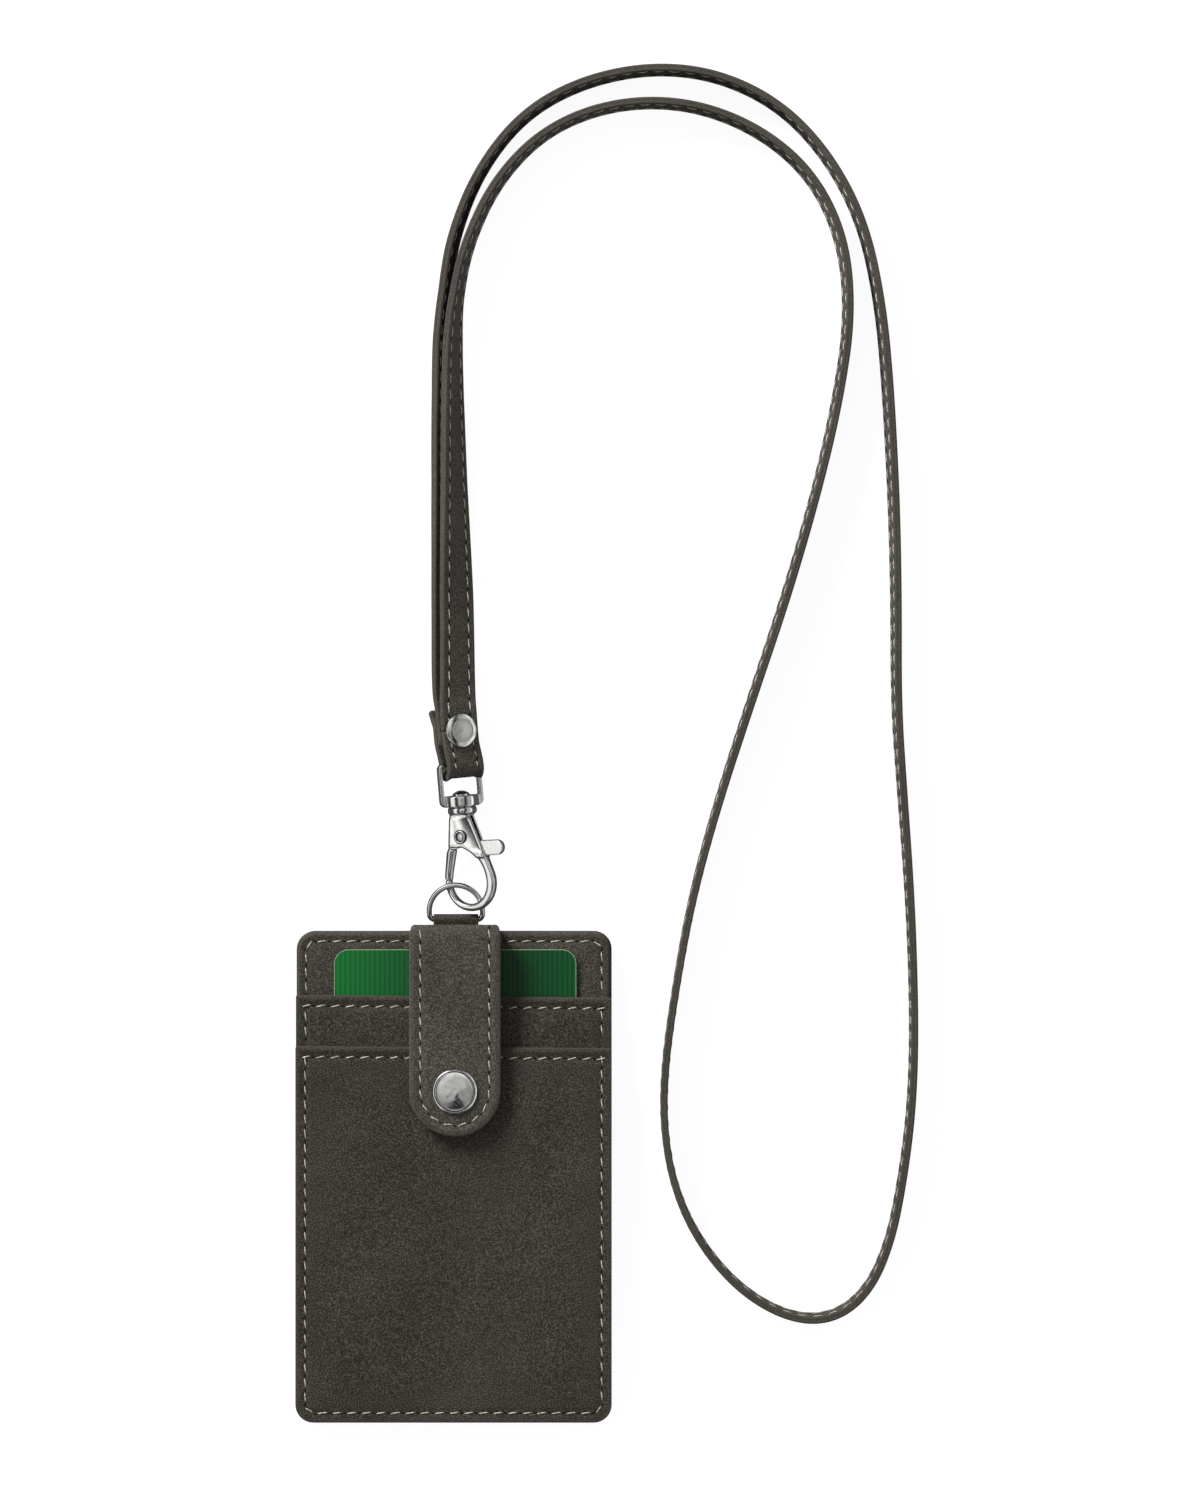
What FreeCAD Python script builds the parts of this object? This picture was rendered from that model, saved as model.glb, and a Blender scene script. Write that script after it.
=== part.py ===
import FreeCAD, Part

import math
import os

import Sketcher
from FreeCAD import Placement, Rotation, Vector

# A badge wallet on a flat lanyard, lying face up on a table, in millimetres.
# The origin is the centre of the wallet's back, +Z points up out of the wallet's
# front, and +Y points along the wallet to its top edge and the lanyard's clasp.

DOC = FreeCAD.newDocument("badge_wallet")
SHEET = DOC.addObject("Spreadsheet::Sheet", "Sizes")

SIZES = {
    # wallet outline
    "side_hem": 7.6,
    "wallet_height": 109.2,
    "wallet_corner": 4.0,
    "pocket_corner": 0.7,
    # layers of the wallet, from the back to the front
    "leather": 0.8,
    "vinyl": 0.3,
    "id_slot": 0.9,
    "board": 1.6,
    "lining_leather": 0.7,
    "card_slot": 0.96,
    "front_slot": 0.9,
    # how far each pocket's edge lies below the wallet's top edge
    "upper_pocket_drop": 14.4,
    "front_pocket_drop": 25.6,
    "front_slot_foot": 5.0,
    "slot_play": 0.3,
    "slot_side_play": 0.6,
    # window of the back panel
    "window_width": 44.0,
    "window_height": 70.0,
    "window_corner": 4.0,
    "window_below_middle": 4.0,
    "window_play": 0.1,
    "back_hem_width": 6.0,
    # card in the upper pocket
    "card_width": 54.0,
    "card_length": 85.6,
    "card_thickness": 0.76,
    "card_corner": 3.18,
    "card_drop": 4.0,
    "card_shift": 0.3,
    # flap that folds over the top edge, and the seam that holds it
    "seam_shift": 0.4,
    "flap_width": 20.3,
    "flap_reach": 45.3,
    "flap_leather": 0.75,
    "flap_lining": 0.65,
    "flap_lift": 1.8,
    "flap_rise": 1.3,
    "fold_seat": 0.05,
    "fold_gap": 0.36,
    "root_leather": 0.6,
    "root_depth": 10.0,
    "notch_play": 0.1,
    # snap fastener
    "snap_drop": 35.2,
    "cap_radius": 5.0,
    "cap_rim": 0.45,
    "cap_dome": 0.75,
    "cap_dome_radius": 4.3,
    "post_radius": 1.0,
    "post_play": 0.04,
    "socket_radius": 4.2,
    "socket_height": 1.3,
    "socket_roof": 0.3,
    "stud_radius": 4.0,
    "stud_flange": 0.4,
    "stud_neck_radius": 1.6,
    "stud_head_radius": 1.85,
    "stud_height": 1.4,
    "snap_play": 0.2,
    "eyelet_radius": 3.5,
    "eyelet_flange": 0.4,
    # leather loop and the ring in it
    "loop_leather": 0.5,
    "loop_width": 9.2,
    "loop_play": 0.1,
    "ring_wire": 1.2,
    "ring_width": 13.1,
    "ring_height": 9.1,
    "ring_corner": 1.3,
    "ring_above_edge": 2.6,
    "ring_tilt": 12.0,
    # place and attitude of the clasp
    "clasp_side": 3.66,
    "clasp_above_edge": 5.3,
    "clasp_level": 3.9,
    "clasp_lean": 4.7,
    "clasp_rise": 2.0,
    "hook_roll": -32.0,
    "bail_roll": 25.0,
    # hook of the clasp
    "bow_radius": 6.47,
    "bow_side": 0.8,
    "bow_level": 5.73,
    "eye_radius": 4.89,
    "eye_side": 0.41,
    "eye_foot": 0.78,
    "point_level": 6.35,
    "bow_thickness": 1.8,
    "bow_round": 0.5,
    "arm_radius": 8.4,
    "hook_body_low": 13.6,
    "hook_body_high": 21.4,
    "hook_body_half": 2.6,
    "hook_body_flare": 1.0,
    "hook_neck": 2.1,
    "hook_body_thickness": 3.1,
    "hook_body_round": 0.6,
    "trigger_low": 11.1,
    "trigger_high": 20.6,
    "trigger_slot": 1.3,
    "collar_radius": 3.2,
    "collar_height": 1.3,
    "collar_round": 0.4,
    # trigger lever, its pin and its spring
    "pivot_height": 16.0,
    "pin_radius": 0.8,
    "pin_head_radius": 1.45,
    "pin_head": 0.25,
    "pin_dimple_radius": 0.8,
    "pin_dimple": 0.15,
    "pin_play": 0.05,
    "lever_thickness": 1.1,
    "lever_hub": 2.0,
    "thumb_reach": 10.2,
    "thumb_start": 3.6,
    "thumb_low": 11.6,
    "thumb_high": 14.9,
    "gate_top_side": 3.45,
    "gate_top": 13.3,
    "gate_top_radius": 1.0,
    "gate_tip_side": 5.0,
    "gate_tip": 6.85,
    "gate_tip_radius": 0.75,
    "spring_leaf": 0.2,
    "spring_width": 0.9,
    "spring_half": 1.5,
    # swivel and bail
    "swivel_stem": 1.2,
    "swivel_stem_depth": 1.5,
    "swivel_head_radius": 1.95,
    "swivel_head": 1.1,
    "swivel_head_rim": 0.3,
    "swivel_gap": 0.1,
    "swivel_play": 0.05,
    "bail_half": 5.1,
    "bail_strip": 0.8,
    "bail_base": 2.3,
    "bail_width": 1.5,
    "bail_corner": 1.3,
    "bail_height": 9.7,
    "bail_boss_radius": 3.9,
    # lanyard strap and its rivet
    "strap_width": 8.5,
    "strap_thickness": 1.6,
    "fold_eye": 1.45,
    "rivet_above_bar": 7.6,
    "front_leg_above_bar": 12.4,
    "tail_above_bar": 11.6,
    "rear_end_above_bar": 4.2,
    "rivet_radius": 3.8,
    "rivet_dome": 1.1,
    "rivet_rim": 0.35,
    "rivet_post": 1.25,
    "rivet_play": 0.05,
    "overrun": 5.0,
}

for row, (alias, number) in enumerate(SIZES.items(), 1):
    SHEET.set(f"A{row}", alias)
    SHEET.set(f"B{row}", str(number))
    SHEET.setAlias(f"B{row}", alias)
DOC.recompute()


def size(alias):
    """A driving dimension, read from the sheet."""
    return float(SHEET.get(alias))


# The wallet's layers from the back up, each with the cell that gives its thickness.
LAYERS = (
    ("back_panel", "leather"),
    ("id_window", "vinyl"),
    ("back_hem", "id_slot"),
    ("stiffener_board", "board"),
    ("lining", "lining_leather"),
    ("upper_pocket_hem", "card_slot"),
    ("upper_pocket", "leather"),
    ("front_pocket_hem", "front_slot"),
    ("front_pocket", "leather"),
)


def level(layer):
    """Expression for the height of a layer's lower face: the sum of the layers under it."""
    names = [name for name, _ in LAYERS]
    below = LAYERS[:names.index(layer)] if layer in names else LAYERS
    return " + ".join(f"Sizes.{cell}" for _, cell in below) or "0"


def number_of(expression):
    return float(SHEET_READER.evalExpression(expression))


SHEET_READER = DOC.addObject("App::FeaturePython", "SheetReader")
HALF_SLOT = "(Sizes.card_width / 2 + Sizes.slot_side_play)"
HALF_WIDTH = "(Sizes.card_width / 2 + Sizes.slot_side_play + Sizes.side_hem)"
HALF_HEIGHT = "Sizes.wallet_height / 2"
FRONT = level("front")
NODES = []


# Helpers for bodies and sketches

def new_body(label, x="0", y="0", z="0"):
    body = DOC.addObject("PartDesign::Body", label)
    body.Label = label
    for axis, expression in zip("xyz", (x, y, z)):
        body.setExpression(f"Placement.Base.{axis}", expression)
    NODES.append(body)
    return body


def new_sketch(body, role="XY_Plane"):
    sketch = body.newObject("Sketcher::SketchObject", body.Label + "_sketch")
    plane = next(feature for feature in body.Origin.OriginFeatures if feature.Role == role)
    sketch.AttachmentSupport = [(plane, "")]
    sketch.MapMode = "FlatFace"
    return sketch


def rectangle(sketch, left, right, low, high):
    """Four sides whose places are expressions of the sheet."""
    sides = [number_of(expression) for expression in (left, right, low, high)]
    x0, x1, y0, y1 = sides
    corners = [Vector(x0, y0, 0), Vector(x1, y0, 0), Vector(x1, y1, 0), Vector(x0, y1, 0)]
    first = sketch.GeometryCount
    for place in range(4):
        sketch.addGeometry(Part.LineSegment(corners[place], corners[(place + 1) % 4]))
    for place in range(4):
        sketch.addConstraint(Sketcher.Constraint("Coincident", first + place, 2, first + (place + 1) % 4, 1))
        kind = "Horizontal" if place % 2 == 0 else "Vertical"
        sketch.addConstraint(Sketcher.Constraint(kind, first + place))
    pins = (("DistanceX", 0, left), ("DistanceX", 2, right), ("DistanceY", 0, low), ("DistanceY", 2, high))
    for kind, line, expression in pins:
        datum = Sketcher.Constraint(kind, -1, 1, first + line, 1, number_of(expression))
        index = sketch.addConstraint(datum)
        sketch.setExpression(f"Constraints[{index}]", expression)


def circle(sketch, x, y, radius):
    """A circle whose centre and radius are expressions of the sheet."""
    centre = Vector(number_of(x), number_of(y), 0)
    ring = sketch.addGeometry(Part.Circle(centre, Vector(0, 0, 1), number_of(radius)))
    for kind, expression in (("DistanceX", x), ("DistanceY", y)):
        datum = Sketcher.Constraint(kind, -1, 1, ring, 3, number_of(expression))
        index = sketch.addConstraint(datum)
        sketch.setExpression(f"Constraints[{index}]", expression)
    index = sketch.addConstraint(Sketcher.Constraint("Radius", ring, number_of(radius)))
    sketch.setExpression(f"Constraints[{index}]", radius)


def outline_edges(start, steps):
    """Lines and arcs from a start point: a step is an end point, or a (middle, end) pair for an arc."""
    here = Vector(*start, 0)
    edges = []
    for step in steps:
        if isinstance(step[0], tuple):
            middle, end = Vector(*step[0], 0), Vector(*step[1], 0)
            edges.append(Part.Arc(here, middle, end))
        else:
            end = Vector(*step, 0)
            edges.append(Part.LineSegment(here, end))
        here = end
    return edges


def draw(sketch, start, steps):
    for edge in outline_edges(start, steps):
        sketch.addGeometry(edge)


def pad(body, sketch, length, midplane=False):
    feature = body.newObject("PartDesign::Pad", body.Label + "_pad")
    feature.Profile = sketch
    feature.setExpression("Length", length)
    if midplane:
        feature.SideType = "Symmetric"
    DOC.recompute()
    return feature


def cut(body, sketch, length, midplane=False):
    """Pocket a sketch's outline out of the body, upwards from its plane or to both sides of it."""
    before = body.Shape.Volume
    feature = body.newObject("PartDesign::Pocket", body.Label + "_cut")
    feature.Profile = sketch
    feature.setExpression("Length", length)
    if midplane:
        feature.SideType = "Symmetric"
    else:
        feature.Reversed = True
    DOC.recompute()
    if body.Shape.Volume >= before:
        raise ValueError(f"the cut in {body.Label} removes nothing")
    return feature


def turn(body, role, start, steps):
    """Revolve an outline of (radius, height) points about its sketch's upright axis."""
    sketch = new_sketch(body, role)
    draw(sketch, start, steps)
    feature = body.newObject("PartDesign::Revolution", body.Label + "_turn")
    feature.Profile = sketch
    feature.ReferenceAxis = (sketch, ["V_Axis"])
    DOC.recompute()
    return feature


def dome(radius, base, rise):
    """A spherical cap's arc in (radius, height), from its rim to its top on the axis."""
    sphere = (radius ** 2 + rise ** 2) / (2 * rise)
    half_way = radius * math.sqrt(1 / 2)
    sink = sphere - math.sqrt(sphere ** 2 - half_way ** 2)
    return ((half_way, base + rise - sink), (0, base + rise))


def fillet(body, radius, keep):
    """Round the edges of the body's last feature that the test keeps."""
    base = body.Tip
    names = [f"Edge{place}" for place, edge in enumerate(base.Shape.Edges, 1) if keep(edge)]
    feature = body.newObject("PartDesign::Fillet", body.Label + "_fillet")
    feature.Base = (base, names)
    feature.setExpression("Radius", radius)
    DOC.recompute()
    if not feature.isValid():
        raise ValueError(f"the edges of {body.Label} can't be rounded")
    return feature


def is_upright(edge):
    box = edge.BoundBox
    return box.XLength + box.YLength < box.ZLength * 0.001


def upright_between(low, high):
    """Test for upright edges that stand between two heights of the wallet, as expressions."""
    bottom, top = number_of(low), number_of(high)
    return lambda edge: is_upright(edge) and bottom <= edge.CenterOfMass.y <= top


def shape_node(label, shape, placement=None):
    feature = DOC.addObject("Part::Feature", label)
    feature.Label = label
    feature.Shape = shape
    if placement is not None:
        feature.Placement = placement
    NODES.append(feature)
    return feature


# Wallet: sheets of one outline, with hems between them that leave the slots

def wallet_sheet(layer, top=HALF_HEIGHT, top_corner="Sizes.wallet_corner"):
    thickness = "Sizes." + dict(LAYERS)[layer]
    body = new_body(layer, z=level(layer))
    sketch = new_sketch(body)
    rectangle(sketch, "-" + HALF_WIDTH, HALF_WIDTH, "-" + HALF_HEIGHT, top)
    pad(body, sketch, thickness)
    fillet(body, "Sizes.wallet_corner", upright_between(f"-{HALF_HEIGHT} - Sizes.overrun", "0"))
    fillet(body, top_corner, upright_between("0", f"{HALF_HEIGHT} + Sizes.overrun"))
    return body


def cut_rectangle(body, left, right, low, high):
    sketch = new_sketch(body)
    rectangle(sketch, left, right, low, high)
    return cut(body, sketch, "Sizes.overrun")


def cut_hole(body, x, y, radius):
    sketch = new_sketch(body)
    circle(sketch, x, y, radius)
    return cut(body, sketch, "Sizes.overrun")


UPPER_TOP = f"{HALF_HEIGHT} - Sizes.upper_pocket_drop"
FRONT_TOP = f"{HALF_HEIGHT} - Sizes.front_pocket_drop"
CARD_FOOT = f"{HALF_HEIGHT} - Sizes.card_drop - Sizes.card_length"
SNAP_Y = f"{HALF_HEIGHT} - Sizes.snap_drop"
BEYOND_TOP = f"{HALF_HEIGHT} + Sizes.overrun"


def make_wallet():
    back = wallet_sheet("back_panel")
    middle = "-Sizes.window_below_middle"
    sketch = new_sketch(back)
    rectangle(
        sketch, "-Sizes.window_width / 2", "Sizes.window_width / 2",
        f"{middle} - Sizes.window_height / 2", f"{middle} + Sizes.window_height / 2",
    )
    cut(back, sketch, "Sizes.overrun")
    half_window = number_of("Sizes.window_width / 2")
    fillet(
        back, "Sizes.window_corner",
        lambda edge: is_upright(edge) and abs(edge.CenterOfMass.x) <= half_window * 1.01,
    )

    window = wallet_sheet("id_window")
    sketch = new_sketch(window)
    half_pane = "(Sizes.window_width / 2 - Sizes.window_play)"
    tall_pane = "(Sizes.window_height / 2 - Sizes.window_play)"
    rectangle(sketch, "-" + half_pane, half_pane, f"{middle} - {tall_pane}", f"{middle} + {tall_pane}")
    pad(window, sketch, "Sizes.leather").Reversed = True
    DOC.recompute()
    pane = number_of(half_pane)
    fillet(
        window, "Sizes.window_corner - Sizes.window_play",
        lambda edge: is_upright(edge) and abs(edge.CenterOfMass.x) <= pane * 1.01,
    )

    hem = wallet_sheet("back_hem")
    cut_rectangle(
        hem, f"-{HALF_WIDTH} + Sizes.back_hem_width", f"{HALF_WIDTH} + Sizes.overrun",
        f"-{HALF_HEIGHT} + Sizes.back_hem_width", f"{HALF_HEIGHT} - Sizes.root_depth",
    )

    board = wallet_sheet("stiffener_board")
    half_notch = "(Sizes.flap_width / 2 + Sizes.notch_play)"
    cut_rectangle(
        board, f"Sizes.seam_shift - {half_notch}", f"Sizes.seam_shift + {half_notch}",
        f"{HALF_HEIGHT} - Sizes.root_depth - Sizes.notch_play", BEYOND_TOP,
    )

    wallet_sheet("lining")

    slot = ("-" + HALF_SLOT, HALF_SLOT)
    upper_hem = wallet_sheet("upper_pocket_hem", UPPER_TOP, "Sizes.pocket_corner")
    cut_rectangle(upper_hem, *slot, f"{CARD_FOOT} - Sizes.slot_play", BEYOND_TOP)
    wallet_sheet("upper_pocket", UPPER_TOP, "Sizes.pocket_corner")
    front_hem = wallet_sheet("front_pocket_hem", FRONT_TOP, "Sizes.pocket_corner")
    cut_rectangle(front_hem, *slot, f"-{HALF_HEIGHT} + Sizes.front_slot_foot", BEYOND_TOP)
    front = wallet_sheet("front_pocket", FRONT_TOP, "Sizes.pocket_corner")
    cut_hole(front, "Sizes.seam_shift", SNAP_Y, "Sizes.post_radius + Sizes.post_play")


def make_card():
    height = f"{level('upper_pocket_hem')} + (Sizes.card_slot - Sizes.card_thickness) / 2"
    body = new_body("card", x="Sizes.card_shift", z=height)
    sketch = new_sketch(body)
    rectangle(
        sketch, "-Sizes.card_width / 2", "Sizes.card_width / 2",
        CARD_FOOT, f"{HALF_HEIGHT} - Sizes.card_drop",
    )
    pad(body, sketch, "Sizes.card_thickness")
    fillet(body, "Sizes.card_corner", is_upright)


# Flap: its sewn root and fold stay with the wallet, its front leg swings at the fold

FLAP_LOW = f"{FRONT} + Sizes.flap_lift"
FLAP_THICK = "(Sizes.flap_leather + Sizes.flap_lining)"
FLAP_AXIS_Y = f"{HALF_HEIGHT} + Sizes.flap_rise - {FLAP_THICK} / 2"
FLAP_AXIS_Z = f"{FLAP_LOW} + {FLAP_THICK} / 2"
FLAP_END = f"{HALF_HEIGHT} - Sizes.flap_reach"
ROOT_LOW = f"{level('stiffener_board')} + 2 * Sizes.loop_leather"


def make_flap_root():
    body = new_body("flap_root", x="Sizes.seam_shift")
    low, deep = number_of(ROOT_LOW), number_of(f"{HALF_HEIGHT} - Sizes.root_depth")
    seat = number_of(f"{HALF_HEIGHT} + Sizes.fold_seat")
    top = number_of(f"{HALF_HEIGHT} + Sizes.flap_rise")
    fold = number_of(f"{FLAP_LOW} - Sizes.fold_gap")
    inner = low + size("root_leather")
    sketch = new_sketch(body, "YZ_Plane")
    draw(
        sketch, (deep, low),
        [(top, low), (top, fold), (seat, fold), (seat, inner), (deep, inner), (deep, low)],
    )
    pad(body, sketch, "Sizes.flap_width", midplane=True)
    bend = size("flap_rise") - size("fold_seat")
    fillet(
        body, "(Sizes.flap_rise - Sizes.fold_seat) / 2",
        lambda edge: edge.BoundBox.XLength > bend
        and abs(edge.CenterOfMass.y - top) < bend / 2
        and abs(edge.CenterOfMass.z - low) < bend / 2,
    )


def flap_outline(sketch, head):
    """Straight sides under a square head, closed by a half circle at the free end."""
    half = size("flap_width") / 2
    end = number_of(FLAP_END)
    draw(
        sketch, (-half, head),
        [(-half, end + half), ((0, end), (half, end + half)), (half, head), (-half, head)],
    )


def make_flap():
    axis_y, axis_z = number_of(FLAP_AXIS_Y), number_of(FLAP_AXIS_Z)
    roll = number_of(f"{FLAP_THICK} / 2")
    lining = new_body("flap_lining", x="Sizes.seam_shift", z=FLAP_LOW)
    sketch = new_sketch(lining)
    flap_outline(sketch, axis_y - roll)
    pad(lining, sketch, "Sizes.flap_lining")
    outer = new_body("flap_outer", x="Sizes.seam_shift", z=f"{FLAP_LOW} + Sizes.flap_lining")
    sketch = new_sketch(outer)
    flap_outline(sketch, axis_y)
    pad(outer, sketch, "Sizes.flap_leather")
    roll_sketch = new_sketch(outer, "YZ_Plane")
    roll_height = axis_z - number_of(f"{FLAP_LOW} + Sizes.flap_lining")
    roll_sketch.addGeometry(Part.Circle(Vector(axis_y, roll_height, 0), Vector(0, 0, 1), roll))
    pad(outer, roll_sketch, "Sizes.flap_width", midplane=True)
    for body in (lining, outer):
        cut_hole(body, "0", SNAP_Y, "Sizes.post_radius + Sizes.post_play")


# Snap fastener: a cap and socket on the flap, a stud and eyelet on the front pocket

def make_snap():
    post = size("post_radius")
    bore = post + size("post_play")
    flap_thick = number_of(FLAP_THICK)
    place = {"x": "Sizes.seam_shift", "y": SNAP_Y}

    cap = new_body("snap_cap", z=f"{FLAP_LOW} + {FLAP_THICK}", **place)
    rim, radius, swell = size("cap_rim"), size("cap_radius"), size("cap_dome_radius")
    foot = -flap_thick - size("socket_roof")
    turn(
        cap, "XZ_Plane", (0, foot),
        [(post, foot), (post, 0), (radius, 0), (radius, rim), (swell, rim),
         dome(swell, rim, size("cap_dome")), (0, foot)],
    )
    fillet(cap, "Sizes.cap_rim / 3", lambda edge: abs(edge.BoundBox.XLength - 2 * radius) < post)

    socket = new_body("snap_socket", z=f"{FLAP_LOW} - Sizes.socket_height", **place)
    mouth = size("stud_head_radius") + size("snap_play")
    height, roof, wide = size("socket_height"), size("socket_roof"), size("socket_radius")
    turn(
        socket, "XZ_Plane", (mouth, 0),
        [(wide, 0), (wide, height), (bore, height), (bore, height - roof), (mouth, height - roof), (mouth, 0)],
    )

    stud = new_body("snap_stud", z=FRONT, **place)
    flange, tall = size("stud_flange"), size("stud_height")
    neck, head, wide = size("stud_neck_radius"), size("stud_head_radius"), size("stud_radius")
    waist = (flange + tall) / 2
    turn(
        stud, "XZ_Plane", (bore, 0),
        [(wide, 0), (wide, flange), (neck, flange), (head, waist), (neck, tall), (bore, tall), (bore, 0)],
    )

    eyelet = new_body("stud_eyelet", z=f"{FRONT} - Sizes.leather", **place)
    thin, wide = size("eyelet_flange"), size("eyelet_radius")
    reach = size("leather") + tall
    turn(
        eyelet, "XZ_Plane", (0, -thin),
        [(wide, -thin), (wide, 0), (post, 0), (post, reach), (0, reach), (0, -thin)],
    )


# Leather loop sewn into the top seam, and the ring that swings in it

RING_Y = f"{HALF_HEIGHT} + Sizes.ring_above_edge"
RING_Z = f"{level('stiffener_board')} + Sizes.loop_leather"


def make_loop():
    body = new_body("ring_loop", x="Sizes.seam_shift")
    bar_y, bar_z = number_of(RING_Y), number_of(RING_Z)
    strip = size("loop_leather")
    eye = size("ring_wire") / 2 + size("loop_play")
    round_radius = eye + strip
    neck = bar_y - math.sqrt(round_radius ** 2 - strip ** 2)
    deep = number_of(f"{HALF_HEIGHT} - Sizes.root_depth")
    sketch = new_sketch(body, "YZ_Plane")
    draw(
        sketch, (deep, bar_z - strip),
        [(neck, bar_z - strip), ((bar_y + round_radius, bar_z), (neck, bar_z + strip)),
         (deep, bar_z + strip), (deep, bar_z - strip)],
    )
    sketch.addGeometry(Part.Circle(Vector(bar_y, bar_z, 0), Vector(0, 0, 1), eye))
    pad(body, sketch, "Sizes.loop_width", midplane=True)


def swept(path_edges, profile_wire, binormal=None):
    """One solid carried along a path of lines and tangent arcs."""
    sweep = Part.BRepOffsetAPI.MakePipeShell(Part.Wire(path_edges))
    if binormal is not None:
        sweep.setBiNormalMode(binormal)
    sweep.add(profile_wire)
    sweep.build()
    sweep.makeSolid()
    return sweep.shape()


def make_ring():
    """A D of round wire: straight bar, two small corners, short sides and a half circle."""
    wire = size("ring_wire") / 2
    half = size("ring_width") / 2 - wire
    corner = size("ring_corner")
    shoulder = size("ring_height") - 2 * wire - half
    slant = corner * (1 - math.sqrt(1 / 2))
    edges = outline_edges(
        (0, 0),
        [(half - corner, 0), ((half - slant, slant), (half, corner)), (half, shoulder),
         ((0, shoulder + half), (-half, shoulder)), (-half, corner),
         ((-half + slant, slant), (-half + corner, 0)), (0, 0)],
    )
    profile = Part.Wire([Part.Circle(Vector(0, 0, 0), Vector(1, 0, 0), wire).toShape()])
    solid = swept([edge.toShape() for edge in edges], profile)
    place = Vector(size("seam_shift"), number_of(RING_Y), number_of(RING_Z))
    shape_node("d_ring", solid, Placement(place, Rotation(Vector(1, 0, 0), size("ring_tilt"))))


# Clasp: local x across it, y along its axis to the strap, z out of its front

def clasp_frame(roll):
    lean = Rotation(Vector(0, 0, 1), size("clasp_lean"))
    rise = Rotation(Vector(1, 0, 0), size("clasp_rise"))
    about = Rotation(Vector(0, 1, 0), roll)
    place = Vector(
        size("clasp_side"), number_of(f"{HALF_HEIGHT} + Sizes.clasp_above_edge"), size("clasp_level"))
    return Placement(place, lean.multiply(rise).multiply(about))


HOOK_FRAME = clasp_frame(size("hook_roll"))
BAIL_FRAME = clasp_frame(size("bail_roll"))


def clasp_body(label, frame, offset=Vector(0, 0, 0)):
    body = DOC.addObject("PartDesign::Body", label)
    body.Label = label
    body.Placement = frame.multiply(Placement(offset, Rotation()))
    NODES.append(body)
    return body


def tangent_point(centre, radius, outside):
    """Where a straight line from a point outside touches the right side of a circle."""
    away = (outside[0] - centre[0], outside[1] - centre[1])
    distance = math.hypot(*away)
    turn_angle = math.atan2(away[1], away[0]) - math.acos(radius / distance)
    return (centre[0] + radius * math.cos(turn_angle), centre[1] + radius * math.sin(turn_angle))


def make_hook():
    bow, bow_side, bow_level = size("bow_radius"), size("bow_side"), size("bow_level")
    eye, eye_side = size("eye_radius"), size("eye_side")
    low, high = size("hook_body_low"), size("hook_body_high")
    half, arm = size("hook_body_half"), size("arm_radius")
    flared = half + size("hook_body_flare")
    eye_level = size("eye_foot") + eye
    point = size("point_level")
    neck = (size("hook_neck"), high)
    touch = tangent_point((bow_side, bow_level), bow, neck)
    arm_centre = eye_side + eye - arm

    def arm_side(height):
        return arm_centre + math.sqrt(arm ** 2 - (height - eye_level) ** 2)

    def spine_side(height):
        share = (height - touch[1]) / (neck[1] - touch[1])
        return touch[0] + share * (neck[0] - touch[0])

    body = clasp_body("hook_body", HOOK_FRAME)
    sketch = new_sketch(body)
    middle = (eye_level + low) / 2
    draw(
        sketch, (bow_side - bow, bow_level),
        [((bow_side, bow_level - bow), touch), (spine_side(low), low), (arm_side(low), low),
         ((arm_side(middle), middle), (eye_side + eye, eye_level)),
         ((eye_side, size("eye_foot")), (eye_side - eye, eye_level)),
         (eye_side - eye, point), (bow_side - bow, point), (bow_side - bow, bow_level)],
    )
    pad(body, sketch, "Sizes.bow_thickness", midplane=True)
    thick = size("bow_thickness")
    fillet(body, "Sizes.bow_round", lambda edge: abs(abs(edge.CenterOfMass.z) - thick / 2) < thick * 0.01
           and edge.CenterOfMass.y < low * 0.95)

    sketch = new_sketch(body)
    trigger = size("trigger_low")
    draw(
        sketch, (-flared, low),
        [(-half, high), neck, (spine_side(trigger), trigger), (arm_side(trigger), trigger),
         ((arm_side((trigger + low) / 2), (trigger + low) / 2), (arm_side(low), low)), (-flared, low)],
    )
    pad(body, sketch, "Sizes.hook_body_thickness", midplane=True)
    block = size("hook_body_thickness") / 2
    fillet(body, "Sizes.hook_body_round", lambda edge: abs(abs(edge.CenterOfMass.z) - block) < block * 0.01)

    collar, tall, soft = size("collar_radius"), size("collar_height"), size("collar_round")
    turn(
        body, "XY_Plane", (0, high - soft),
        [(collar - soft, high - soft), (collar, high), (collar, high + tall - soft),
         (collar - soft, high + tall), (0, high + tall), (0, high - soft)],
    )

    sketch = new_sketch(body)
    rectangle(
        sketch, "-Sizes.hook_body_half - Sizes.hook_body_flare - Sizes.overrun",
        "Sizes.hook_body_half + Sizes.overrun",
        "Sizes.trigger_low + Sizes.bow_round", "Sizes.trigger_high",
    )
    cut(body, sketch, "Sizes.trigger_slot", midplane=True)
    sketch = new_sketch(body)
    circle(sketch, "0", "Sizes.pivot_height", "Sizes.pin_radius")
    cut(body, sketch, "Sizes.hook_body_thickness + Sizes.overrun", midplane=True)

    stem = size("swivel_stem")
    groove_sketch = new_sketch(body)
    socket = high + tall - size("swivel_stem_depth")
    top = high + tall
    draw(groove_sketch, (0, socket), [(stem, socket), (stem, top), (0, top), (0, socket)])
    before = body.Shape.Volume
    groove = body.newObject("PartDesign::Groove", "hook_body_stem_socket")
    groove.Profile = groove_sketch
    groove.ReferenceAxis = (groove_sketch, ["V_Axis"])
    DOC.recompute()
    if body.Shape.Volume >= before:
        raise ValueError("the swivel's socket removes nothing")


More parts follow.
